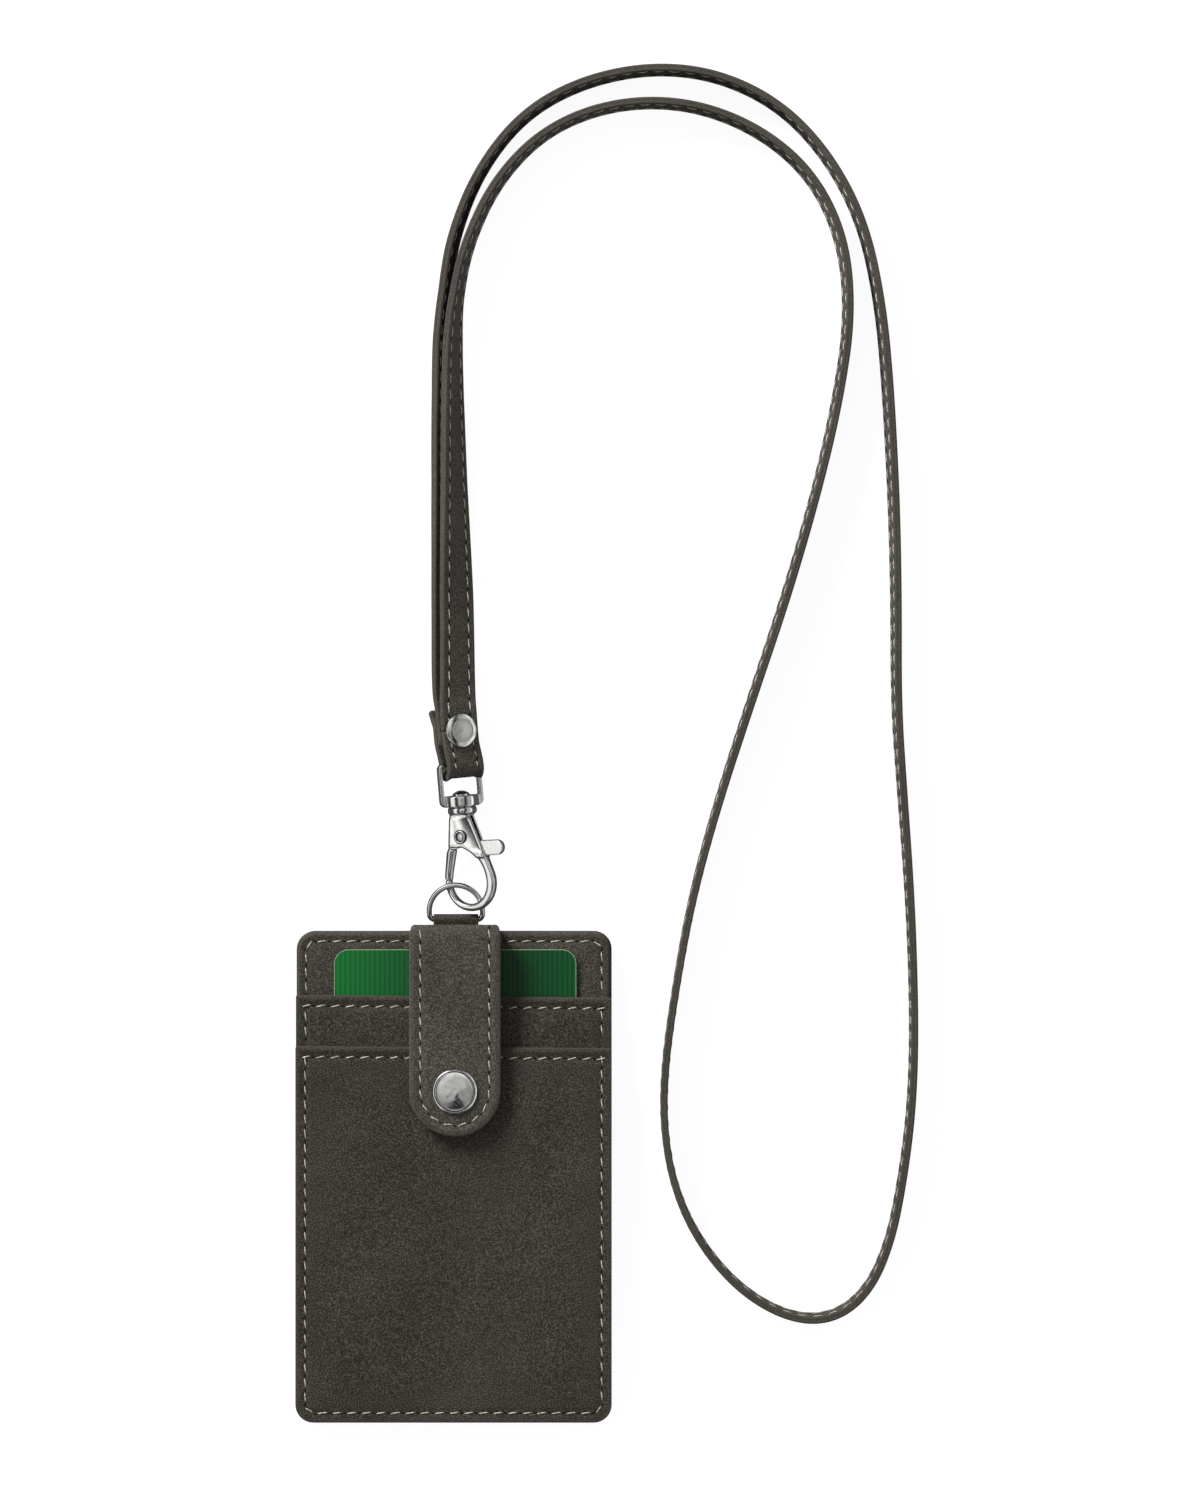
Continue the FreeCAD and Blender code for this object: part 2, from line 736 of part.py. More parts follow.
def make_gate():
    """Trigger lever: a flat plate with a thumb tab in the slot, and a tapered bar that shuts the hook."""
    pivot, hub = size("pivot_height"), size("lever_hub")
    low, high = size("thumb_low"), size("thumb_high")
    start, reach = size("thumb_start"), size("thumb_reach")
    side, top = -size("gate_top_side"), size("gate_top")
    bar = size("gate_top_radius")
    tab = (high - low) / 2
    plate_edges = outline_edges(
        (-hub, pivot),
        [((0, pivot + hub), (hub, pivot)), (start, high), (reach - tab, high),
         ((reach, high - tab), (reach - tab, low)), (start, low), (hub / 2, pivot - hub),
         (side + bar, top), (side - bar / 2, top), (-hub, pivot)],
    )
    thick = size("lever_thickness")
    plate = Part.Face(Part.Wire([edge.toShape() for edge in plate_edges]))
    plate.translate(Vector(0, 0, -thick / 2))
    plate = plate.extrude(Vector(0, 0, thick))
    head = Vector(side, top, 0)
    tip = Vector(-size("gate_tip_side"), size("gate_tip"), 0)
    taper = Part.makeCone(bar, size("gate_tip_radius"), head.distanceToPoint(tip), head, tip - head)
    bore = size("pin_radius") + size("pin_play")
    hole = Part.makeCylinder(bore, thick * 2, Vector(0, pivot, -thick), Vector(0, 0, 1))
    solid = plate.fuse(taper).cut(hole).removeSplitter()
    shape_node("gate_lever", solid.Solids[0], HOOK_FRAME)

    pin = clasp_body("gate_pin", HOOK_FRAME, Vector(0, pivot, 0))
    face = size("hook_body_thickness") / 2
    radius, cap, rise = size("pin_radius"), size("pin_head_radius"), size("pin_head")
    dimple, deep = size("pin_dimple_radius"), size("pin_dimple")
    out = face + rise
    turn(
        pin, "XZ_Plane", (0, -out),
        [(cap, -out), (cap, -face), (radius, -face), (radius, face), (cap, face), (cap, out - rise / 2),
         (cap - rise / 2, out), (dimple, out), (0, out - deep), (0, -out)],
    )

    leaf, wide = size("spring_leaf"), size("spring_half")
    ceiling = size("trigger_high")
    foot = pivot + hub + leaf / 4
    leaf_edges = outline_edges(
        (wide, ceiling),
        [(-wide, ceiling), (-wide, foot), (wide, foot), (wide, foot + leaf), (-wide + leaf, foot + leaf),
         (-wide + leaf, ceiling - leaf), (wide, ceiling - leaf), (wide, ceiling)],
    )
    blade = Part.Face(Part.Wire([edge.toShape() for edge in leaf_edges]))
    half = size("spring_width") / 2
    blade.translate(Vector(0, 0, -half))
    shape_node("gate_spring", blade.extrude(Vector(0, 0, half * 2)), HOOK_FRAME)


def bail_foot():
    return size("hook_body_high") + size("collar_height") + size("swivel_gap")


def make_swivel():
    stem, gap = size("swivel_stem"), size("swivel_gap")
    foot = size("hook_body_high") + size("collar_height") - size("swivel_stem_depth")
    head_low = bail_foot() + size("bail_base") + gap
    head, rim, tall = size("swivel_head_radius"), size("swivel_head_rim"), size("swivel_head")
    body = clasp_body("swivel_rivet", HOOK_FRAME)
    turn(
        body, "XY_Plane", (0, foot),
        [(stem, foot), (stem, head_low), (head, head_low), (head, head_low + rim),
         dome(head, head_low + rim, tall - rim), (0, foot)],
    )

    bail = clasp_body("clasp_bail", BAIL_FRAME)
    low = bail_foot()
    top = low + size("bail_height")
    strip, base = size("bail_strip"), size("bail_base")
    half, corner = size("bail_half"), size("bail_corner")
    sketch = new_sketch(bail)
    draw(sketch, (-half, low), [(half, low), (half, top), (-half, top), (-half, low)])
    inner = half - strip
    draw(
        sketch, (-inner, low + base),
        [(inner, low + base), (inner, top - strip), (-inner, top - strip), (-inner, low + base)],
    )
    pad(bail, sketch, "Sizes.bail_width", midplane=True)
    fillet(bail, "Sizes.bail_corner", lambda edge: is_upright(edge) and abs(edge.CenterOfMass.x) > half - strip / 2)
    boss = size("bail_boss_radius")
    turn(bail, "XY_Plane", (0, low), [(boss, low), (boss, low + base), (0, low + base), (0, low)])
    bore = stem + size("swivel_play")
    groove_sketch = new_sketch(bail)
    draw(groove_sketch, (0, low - gap), [(bore, low - gap), (bore, low + base + gap), (0, low + base + gap), (0, low - gap)])
    before = bail.Shape.Volume
    groove = bail.newObject("PartDesign::Groove", "clasp_bail_bore")
    groove.Profile = groove_sketch
    groove.ReferenceAxis = (groove_sketch, ["V_Axis"])
    DOC.recompute()
    if bail.Shape.Volume >= before:
        raise ValueError("the bail's bore removes nothing")


# Lanyard: one flat strap that leaves the clasp, stands on its edge in a long loop and comes back

# The strap's middle line on the table, from the end of the front leg to the start of the rear leg.
LOOP_ROUTE = (
    (2.9, 208.2), (9.6, 222.4), (20.6, 233.6), (35.5, 239.4), (52.0, 239.6), (67.6, 233.9),
    (79.9, 223.6), (86.9, 209.0), (88.4, 191.8), (85.6, 172.8), (80.8, 152.2), (73.9, 128.6),
    (66.0, 105.2), (58.4, 81.8), (52.9, 61.2), (49.4, 41.6), (47.1, 25.2), (46.7, 11.8),
    (48.8, -1.4), (53.7, -13.0), (61.6, -23.2), (70.8, -29.8), (79.8, -32.3), (87.4, -30.2),
    (93.4, -24.0), (97.4, -14.2), (99.8, -2.6), (101.9, 12.6), (102.7, 28.2), (102.4, 47.8),
    (101.5, 66.2), (100.0, 86.2), (98.7, 105.0), (98.7, 128.6), (98.2, 150.8), (96.9, 175.8),
    (95.2, 194.6), (91.3, 212.9), (83.4, 227.9), (72.6, 239.2), (58.6, 245.9), (43.6, 247.4),
    (28.2, 244.1), (15.3, 236.8), (5.6, 224.4), (-0.2, 209.8),
)
# Stations of the two legs between the clasp and the loop: place, height and how far the strap
# has turned from standing on its edge towards lying on its face, in degrees.
FRONT_LEG = (
    (0.9, 108.5, 6.6, 57.0), (0.7, 128.6, 5.8, 52.0), (0.0, 155.4, 5.0, 34.0), (-0.3, 175.4, 4.6, 25.0),
    (-0.3, 186.6, 4.4, 20.0), (0.4, 196.0, 4.4, 12.0),
)
REAR_LEG = (
    (-1.1, 108.5, 4.8, 57.0), (-1.3, 128.6, 4.1, 50.0), (-2.1, 155.4, 4.1, 34.0), (-2.5, 175.4, 4.3, 25.0),
    (-2.6, 186.6, 4.3, 20.0), (-2.1, 197.0, 4.35, 10.0),
)


def rounded_route(points):
    """Straight runs joined by tangent arcs as large as the runs allow, with the radius of each arc."""
    corners = [Vector(x, y, size("strap_width") / 2) for x, y in points]
    edges, radii = [], []
    here = corners[0]
    for before, corner, after in zip(corners, corners[1:], corners[2:]):
        back = (before - corner).normalize()
        ahead = (after - corner).normalize()
        bend = math.pi - back.getAngle(ahead)
        run = min(before.distanceToPoint(corner), corner.distanceToPoint(after))
        reach = ROUND_SHARE * run
        start, end = corner + back * reach, corner + ahead * reach
        radius = reach / math.tan(bend / 2)
        bisector = (back + ahead).normalize()
        middle = corner + bisector * (radius / math.cos(bend / 2) - radius)
        edges.append(Part.LineSegment(here, start).toShape())
        edges.append(Part.Arc(start, middle, end).toShape())
        radii.append(radius)
        here = end
    edges.append(Part.LineSegment(here, corners[-1]).toShape())
    return edges, radii


ROUND_SHARE = 0.45


def strap_section(centre, along, flatness):
    """The strap's cross-section at a station, turned from its edge towards its face by an angle."""
    along = along.normalize()
    side = along.cross(Vector(0, 0, 1)).normalize()
    upright = side.cross(along)
    angle = math.radians(flatness)
    normal = side * math.cos(angle) + upright * math.sin(angle)
    width = upright * math.cos(angle) - side * math.sin(angle)
    across, deep = width * (size("strap_width") / 2), normal * (size("strap_thickness") / 2)
    corners = [centre + across + deep, centre - across + deep, centre - across - deep, centre + across - deep]
    return Part.makePolygon(corners + corners[:1])


def lofted_leg(first_sections, stations, last_point, last_along):
    """A strap leg, ruled from section to section between the clasp and the loop."""
    places = [Vector(x, y, z) for x, y, z, _ in stations]
    ends = places + [last_point]
    sections = list(first_sections)
    for place, (_, _, _, flatness) in enumerate(stations):
        before = ends[place - 1] if place else places[0] - (places[1] - places[0])
        sections.append(strap_section(ends[place], ends[place + 1] - before, flatness))
    sections.append(strap_section(last_point, last_along, 0))
    return Part.makeLoft(sections, True, True)


def bar_height():
    return bail_foot() + size("bail_height") - size("bail_strip") / 2


def bundle_section(height, layer):
    """A strap layer's cross-section above the bail's bar, in the bail's frame."""
    half, deep = size("strap_width") / 2, size("strap_thickness") / 2
    corners = [Vector(x, height, layer + z) for x, z in ((-half, deep), (half, deep), (half, -deep), (-half, -deep))]
    return Part.makePolygon([BAIL_FRAME.multVec(corner) for corner in corners + corners[:1]])


def rivet_hole(height):
    reach = size("fold_eye") + size("strap_thickness") + size("overrun")
    bore = size("rivet_post") + size("rivet_play")
    hole = Part.makeCylinder(bore, 2 * reach, Vector(0, height, -reach), Vector(0, 0, 1))
    hole.Placement = BAIL_FRAME.multiply(hole.Placement)
    return hole


def make_lanyard():
    bar = bar_height()
    eye, thick, wide = size("fold_eye"), size("strap_thickness"), size("strap_width")
    front_end, tail_end = bar + size("front_leg_above_bar"), bar + size("tail_above_bar")
    rivet = bar + size("rivet_above_bar")
    outside = eye + thick
    fold_edges = outline_edges(
        (front_end, outside),
        [(bar, outside), ((bar - outside, 0), (bar, -outside)), (tail_end, -outside), (tail_end, -eye),
         (bar, -eye), ((bar - eye, 0), (bar, eye)), (front_end, eye), (front_end, outside)],
    )
    fold = Part.Face(Part.Wire([edge.toShape() for edge in fold_edges]))
    turned = Placement(Vector(-wide / 2, 0, 0), Rotation(Vector(1, 1, 1), 120))
    fold = fold.extrude(Vector(0, 0, wide))
    fold.Placement = BAIL_FRAME.multiply(turned)
    hole = rivet_hole(rivet)
    shape_node("strap_fold", fold.cut(hole))

    route = [Vector(x, y, wide / 2) for x, y in LOOP_ROUTE]
    middle_layer = eye + thick / 2
    front = lofted_leg(
        [bundle_section(front_end, middle_layer)], FRONT_LEG, route[0], route[1] - route[0])
    shape_node("strap_front_leg", front)
    rear_low = bar + size("rear_end_above_bar")
    rear = lofted_leg(
        [bundle_section(rear_low, 0), bundle_section(front_end, 0)], REAR_LEG, route[-1], route[-2] - route[-1])
    shape_node("strap_rear_leg", rear.cut(hole))

    edges, radii = rounded_route(LOOP_ROUTE)
    print("lanyard bend radii", [round(radius, 1) for radius in radii])
    loop = swept(edges, strap_section(route[0], route[1] - route[0], 0), Vector(0, 0, 1))
    length = sum(edge.Length for edge in edges)
    print("lanyard loop length", round(length, 1), "volume share", round(loop.Volume / (length * wide * thick), 4))
    shape_node("strap_loop", loop)

    post, cap = size("rivet_post"), size("rivet_radius")
    rim = size("rivet_rim")
    centre = Vector(0, rivet, 0)
    cap_body = clasp_body("rivet_cap", BAIL_FRAME, centre)
    turn(
        cap_body, "XZ_Plane", (0, outside),
        [(cap, outside), (cap, outside + rim),
         dome(cap, outside + rim, size("rivet_dome") - rim), (0, outside)],
    )
    post_body = clasp_body("rivet_post", BAIL_FRAME, centre)
    turn(
        post_body, "XZ_Plane", (0, -outside - rim),
        [(cap, -outside - rim), (cap, -outside), (post, -outside), (post, outside), (0, outside), (0, -outside - rim)],
    )


make_wallet()
make_card()
make_flap_root()
make_flap()
make_snap()
make_loop()
make_ring()
make_hook()
make_gate()
make_swivel()
make_lanyard()
DOC.recompute()

for thing in DOC.Objects:
    if "Invalid" in thing.State or "Error" in thing.State:
        raise ValueError(f"{thing.Label} failed: {thing.State}")
for node in NODES:
    if node.Shape.isNull() or not node.Shape.isValid() or node.Shape.Volume <= 0:
        raise ValueError(f"{node.Label} has no sound shape")

os.makedirs("parts", exist_ok=True)
for node in NODES:
    node.Shape.exportStep(f"parts/{node.Label}.step")
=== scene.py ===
import bmesh
import bpy
import numpy as np
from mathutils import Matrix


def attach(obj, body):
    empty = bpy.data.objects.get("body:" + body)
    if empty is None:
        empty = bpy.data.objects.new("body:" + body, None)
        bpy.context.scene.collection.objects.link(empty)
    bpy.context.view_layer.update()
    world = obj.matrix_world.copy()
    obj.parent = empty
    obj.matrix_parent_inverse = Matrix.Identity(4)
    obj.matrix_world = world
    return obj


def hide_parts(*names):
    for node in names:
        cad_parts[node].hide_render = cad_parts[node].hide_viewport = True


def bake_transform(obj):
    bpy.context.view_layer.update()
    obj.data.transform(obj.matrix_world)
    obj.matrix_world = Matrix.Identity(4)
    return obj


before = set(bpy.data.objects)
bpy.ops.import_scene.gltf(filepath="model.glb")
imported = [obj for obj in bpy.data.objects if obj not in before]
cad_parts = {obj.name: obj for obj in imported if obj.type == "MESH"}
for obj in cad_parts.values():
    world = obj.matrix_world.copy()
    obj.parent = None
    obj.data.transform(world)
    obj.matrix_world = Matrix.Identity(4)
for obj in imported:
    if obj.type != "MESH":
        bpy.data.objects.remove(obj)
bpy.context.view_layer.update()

MM = 0.001
UP = np.array((0.0, 0.0, 1.0))

# Wallet: outlines, and the bottom and top of each layer, in millimetres, as the solids have them.
WALLET_LOW = np.array((-35.2, -54.6))
WALLET_HIGH = np.array((35.2, 54.6))
WALLET_CORNER = 4.0
WALLET_RADII = np.full(4, WALLET_CORNER)
WINDOW_LOW = np.array((-22.0, -39.0))
WINDOW_HIGH = np.array((22.0, 31.0))
WINDOW_CORNER = 4.0
WINDOW_MARGIN = 5.0
WINDOW_EDGE = 0.1
WINDOW_GAP = 0.02
WINDOW_BULGE = 0.45
WINDOW_BULGE_REACH = 6.0
BACK_COVER = (0.0, 0.8)
WINDOW_SHEET = (0.8, 1.1)
BACK_HEM = (1.1, 2.0)
LINED_BOARD = (2.0, 4.3)
UPPER_HEM = (4.3, 5.26)
UPPER_POCKET = (5.26, 6.06)
FRONT_HEM = (6.06, 6.96)
FRONT_POCKET = (6.96, 7.76)
UPPER_POCKET_TOP = 40.2
FRONT_POCKET_TOP = 29.0
POCKET_RADII = np.array((WALLET_CORNER, WALLET_CORNER, 0.5, 0.5))
# The pockets' top edges run down a little to the right: fall per millimetre across.
UPPER_POCKET_SLOPE = 0.009
FRONT_POCKET_SLOPE = 0.006

# Leather sheets: radius of a cut edge and of the board's, and how far in from its edge a face is rubbed.
LEATHER_EDGE = 0.36
BOARD_EDGE = 1.05
RUBBED_WIDTH = 0.5
# Pocket faces: the turned bead under the top edge, the fullness of the middle and its slow waves.
BEAD_HEIGHT = 0.16
BEAD_DROP = 0.9
BEAD_WIDTH = 0.6
FULL_HEIGHT = 0.22
FULL_REACH = 7.0
WAVE_HEIGHT = 0.05
WAVE_REACH = 8.0
# Hems: nearest and farthest distance from the outline, corner radius of the section, and its rubbed share.
HEM_REACH = (0.25, 5.2)
HEM_CORNER = 0.3
HEM_RUBBED = 0.6

# Card: outline, corner radius and the bare rim round its print.
CARD_LOW = np.array((-26.7, -35.0))
CARD_HIGH = np.array((27.3, 50.6))
CARD_CORNER = 3.18
CARD_RIM = 0.14

# Stitching: distance from the edge, length of one stitch with its gap, and thread radius. The thread comes up
# out of the leather, and a hole's rim, upper and lower middle lie at their own heights on the face.
STITCH_INSET = 2.2
POCKET_STITCH_DROP = 2.4
FLAP_STITCH_INSET = 2.5
STITCH_PITCH = 3.25
STITCH_GAP = 1.15
THREAD_RADIUS = 0.15
THREAD_RISE = 0.16
THREAD_SINK = 0.08
HOLE_LENGTH = 0.4
HOLE_WIDTH = 0.22
HOLE_RIM = 0.03
HOLE_MIDDLES = np.array((0.1, -0.05))
POCKET_EDGE_ROOM = 1.4
SEAM_DEPTH = 0.2
SEAM_WIDTH = 0.75

# Flap: outline across and along, thickness, the line of its middle over the wallet's top edge, how much it
# narrows at the fold, how far it takes to thin out to the root, and the bead along its edge.
FLAP_CENTRE = 0.4
FLAP_HALF_WIDTH = 10.15
FLAP_THICKNESS = 1.4
FLAP_ROOT_THICKNESS = 0.6
FLAP_TIP = 9.3
FLAP_MIDDLE = 10.26
FLAP_BACK = 55.6
FLAP_FOLD = 1.1
FLAP_FOLD_IN = 0.06
FLAP_FOLD_IN_START = -2.0
FLAP_FOLD_IN_RUN = 2.6
FLAP_TURN_IN = 0.9
FLAP_EDGE = 0.55
FLAP_THINNING = 4.4
FLAP_BEAD_HEIGHT = 0.12
FLAP_BEAD_INSET = 1.1
FLAP_BEAD_WIDTH = 0.7
FLAP_ROOT_MIDDLE = 3.3
FLAP_ROOT_END = 46.0

# Lanyard strap: section and stitches, the clasp's own frame that its riveted end sits in, and in that frame
# the places of the bail's bar, the rivet, the strap's layers, its tail and its fold.
STRAP_WIDTH = 8.5
STRAP_THICKNESS = 1.6
STRAP_STITCH_REACH = 2.6
STRAP_STITCH_SINK = 0.1
STRAP_PITCH = 3.5
FOLD_PITCH = 2.9
CLASP_ORIGIN = np.array((3.66, 59.9, 3.9))
CLASP_LEAN = 4.7
CLASP_RISE = 2.0
HOOK_ROLL = -32.0
BAIL_ROLL = 25.0
BAR_PLACE = 32.1
RIVET_PLACE = 39.7
LAYER_STEP = 2.25
FRONT_LAYER_END = 44.5
REAR_LAYER_START = 36.3
TAIL_END = 44.2
TAIL_FLARE = 1.9
FOLD_SHIFT = 0.7
FOLD_EARS = 0.7
FOLD_CALM = RIVET_PLACE - 2.0
FOLD_STEPS = 48
FOLD_STITCHED = slice(FOLD_STEPS - 16, FOLD_STEPS - 3)

# Leather loop for the ring: its bar's place and height, the eye round it, the tails' places with their
# distance from the bar's height, and the strip's width and thickness.
RING_BAR = (57.2, 2.5)
RING_EYE = 1.05
RING_TAILS = np.array([(46.0, 0.22), (54.4, 0.26)])
RING_LOOP_WIDTH = 10.0
RING_LOOP_THICKNESS = 0.44

# Route of the strap: x, y, height and how flat it lies in degrees, 0 on its edge and 90 flat.
FRONT_LEG = (
    (0.9, 108.5, 6.6, 57), (0.7, 128.6, 5.8, 52), (0.0, 155.4, 5.0, 34),
    (-0.3, 175.4, 4.6, 25), (-0.3, 186.6, 4.4, 20), (0.4, 196.0, 4.4, 12),
)
REAR_LEG = (
    (-1.1, 108.5, 4.8, 57), (-1.3, 128.6, 4.1, 50), (-2.1, 155.4, 4.1, 34),
    (-2.5, 175.4, 4.3, 25), (-2.6, 186.6, 4.3, 20), (-2.1, 197.0, 4.35, 10),
)
# Loop of the strap: x, y and its lean in degrees. The lean is positive where the right hand side of the
# walk along it faces up.
LOOP_HEIGHT = 4.25
LOOP_ROUTE = (
    (2.9, 208.2, 8), (9.6, 222.4, 5), (20.6, 233.6, 2), (35.5, 239.4, 1), (52.0, 239.6, 1),
    (67.6, 233.9, 2), (79.9, 223.6, 3), (86.9, 209.0, 5), (88.4, 191.8, 5), (85.6, 172.8, 5),
    (80.8, 152.2, 4), (73.9, 128.6, 4), (66.0, 105.2, 3), (58.4, 81.8, 2), (52.9, 61.2, 1),
    (49.4, 41.6, 0), (47.1, 25.2, 0), (46.7, 11.8, 0), (48.8, -1.4, 0), (53.7, -13.0, 0),
    (61.6, -23.2, 0), (70.8, -29.8, 0), (79.8, -32.3, 0), (87.4, -30.2, 0), (93.4, -24.0, 0),
    (97.4, -14.2, 0), (99.8, -2.6, 0), (101.9, 12.6, 0), (102.7, 28.2, 0), (102.4, 47.8, 0),
    (101.5, 66.2, -1), (100.0, 86.2, -2), (98.7, 105.0, -3), (98.7, 128.6, -4), (98.2, 150.8, -5),
    (96.9, 175.8, -5), (95.2, 194.6, -4), (91.3, 212.9, -3), (83.4, 227.9, -2), (72.6, 239.2, -1),
    (58.6, 245.9, -1), (43.6, 247.4, -1), (28.2, 244.1, -2), (15.3, 236.8, -3), (5.6, 224.4, -5),
    (-0.2, 209.8, -8),
)

# The photograph's frame: its middle and height on the object, and the camera's distance.
VIEW_CENTRE = (32.6, 95.1, 5.0)
VIEW_HEIGHT = 334.6
CAMERA_DISTANCE = 1000.0


def linear(code):
    """Linear colour of an sRGB hex value: each channel through the sRGB curve."""
    channels = (int(code[place:place + 2], 16) / 255 for place in (1, 3, 5))
    return tuple(c / 12.92 if c <= 0.04045 else ((c + 0.055) / 1.055) ** 2.4 for c in channels) + (1.0,)


def add_node(tree, kind, inputs=None, **settings):
    """Adds a node, sets its settings, and sets or links each of its inputs."""
    node = tree.nodes.new(kind)
    for name, value in settings.items():
        setattr(node, name, value)
    for name, value in (inputs or {}).items():
        if isinstance(value, bpy.types.NodeSocket):
            tree.links.new(value, node.inputs[name])
        else:
            node.inputs[name].default_value = value
    return node


def ramp(tree, share, *stops):
    """Colour of a ramp at a share. Each of its stops is a place from 0 to 1 and an sRGB hex value."""
    node = add_node(tree, "ShaderNodeValToRGB", {"Fac": share})
    elements = node.color_ramp.elements
    while len(elements) < len(stops):
        elements.new(1.0)
    for element, (place, code) in zip(elements, stops):
        element.position = place
        element.color = linear(code)
    return node.outputs["Color"]


def noise(tree, place, scale, detail=2.0, uneven=0.5):
    """Value of a noise pattern at a place."""
    return add_node(tree, "ShaderNodeTexNoise", {
        "Vector": place, "Scale": scale, "Detail": detail, "Roughness": uneven}).outputs["Fac"]


def reckoned(tree, operation, *values):
    """Result of an operation on one or two values."""
    return add_node(tree, "ShaderNodeMath", dict(enumerate(values)), operation=operation).outputs[0]


def mapped(tree, *values, **settings):
    """A value carried over from one range, its low and high end, to another."""
    names = ("Value", "From Min", "From Max", "To Min", "To Max")
    return add_node(tree, "ShaderNodeMapRange", dict(zip(names, values)), **settings).outputs["Result"]


def mixed(tree, share, first, second, **settings):
    """The first colour with a share of the second one."""
    return add_node(tree, "ShaderNodeMix", {0: share, 6: first, 7: second},
                    data_type="RGBA", **settings).outputs[2]


def relief(tree, height, strength, depth, **inputs):
    """Surface direction of a relief with a strength and a depth in millimetres."""
    return add_node(tree, "ShaderNodeBump", {
        "Height": height, "Strength": strength, "Distance": depth * MM, **inputs}).outputs["Normal"]


def new_finish(name):
    """An empty node material, its node tree and the point that its pattern is read at."""
    finish = bpy.data.materials.new(name)
    finish.use_nodes = True
    tree = finish.node_tree
    tree.nodes.clear()
    place = add_node(tree, "ShaderNodeTexCoord").outputs["Object"]
    return finish, tree, place


def end_finish(tree, **inputs):
    """Adds the surface shader with its inputs, given as words joined by underscores, and the output."""
    named = {name.replace("_", " "): value for name, value in inputs.items()}
    shader = add_node(tree, "ShaderNodeBsdfPrincipled", named)
    add_node(tree, "ShaderNodeOutputMaterial", {"Surface": shader.outputs[0]})


def per_mm(length):
    """Scale of a pattern whose grain is that many millimetres, on coordinates in metres."""
    return 1.0 / (length * MM)


def leather_finish(name, dark, middle, pale, raw):
    """Coated leather with a brushed, nubuck-like face: a dry matt surface with a fine pale speckle of
    under half a millimetre, soft cloudy patches of a centimetre or two, a nap of a few millimetres that can
    be seen only in grazing light, and rubbed, paler edges."""
    finish, tree, place = new_finish(name)
    speckle = noise(tree, place, per_mm(0.3), 1.0)
    cloud = noise(tree, place, per_mm(15.0), 3.0, 0.55)
    nap = noise(tree, place, per_mm(2.6))
    face = ramp(tree, speckle, (0.24, dark), (0.5, middle), (0.8, pale))
    patches = ramp(tree, cloud, (0.3, "#d9d9d9"), (0.7, "#ffffff"))
    clouded = mixed(tree, 1.0, face, patches, blend_type="MULTIPLY")
    edge = add_node(tree, "ShaderNodeAttribute", attribute_name="edge").outputs["Fac"]
    rubbed = mixed(tree, reckoned(tree, "MULTIPLY", edge, 0.6), clouded, linear(raw))
    soft = relief(tree, nap, 0.12, 0.2)
    end_finish(tree, Base_Color=rubbed, Roughness=mapped(tree, speckle, 0.3, 0.7, 0.92, 0.74),
               Normal=relief(tree, speckle, 0.12, 0.12, Normal=soft), Specular_IOR_Level=0.15,
               Sheen_Weight=0.03)
    return finish


def plated_finish(name, colour, rough, wave):
    """Bright plated metal: a mirror with a slightly uneven, cast skin and faint handling marks, and painted
    shade that darkens it to a near black in its crevices."""
    finish, tree, place = new_finish(name)
    painted_crevice_shade = add_node(tree, "ShaderNodeAttribute", attribute_name="edge").outputs["Fac"]
    # Painted shade: the metal's tone is mixed towards a near black by the share of painted shade in crevices.
    tone = mixed(tree, painted_crevice_shade, linear(colour), linear("#2c2b2a"))
    skin = noise(tree, place, per_mm(wave))
    marks = noise(tree, place, per_mm(0.6), 4.0, 0.65)
    end_finish(tree, Base_Color=tone, Metallic=1.0, Normal=relief(tree, skin, 0.3, 0.12),
               Roughness=mapped(tree, marks, 0.4, 0.75, rough, rough + 0.14))
    return finish


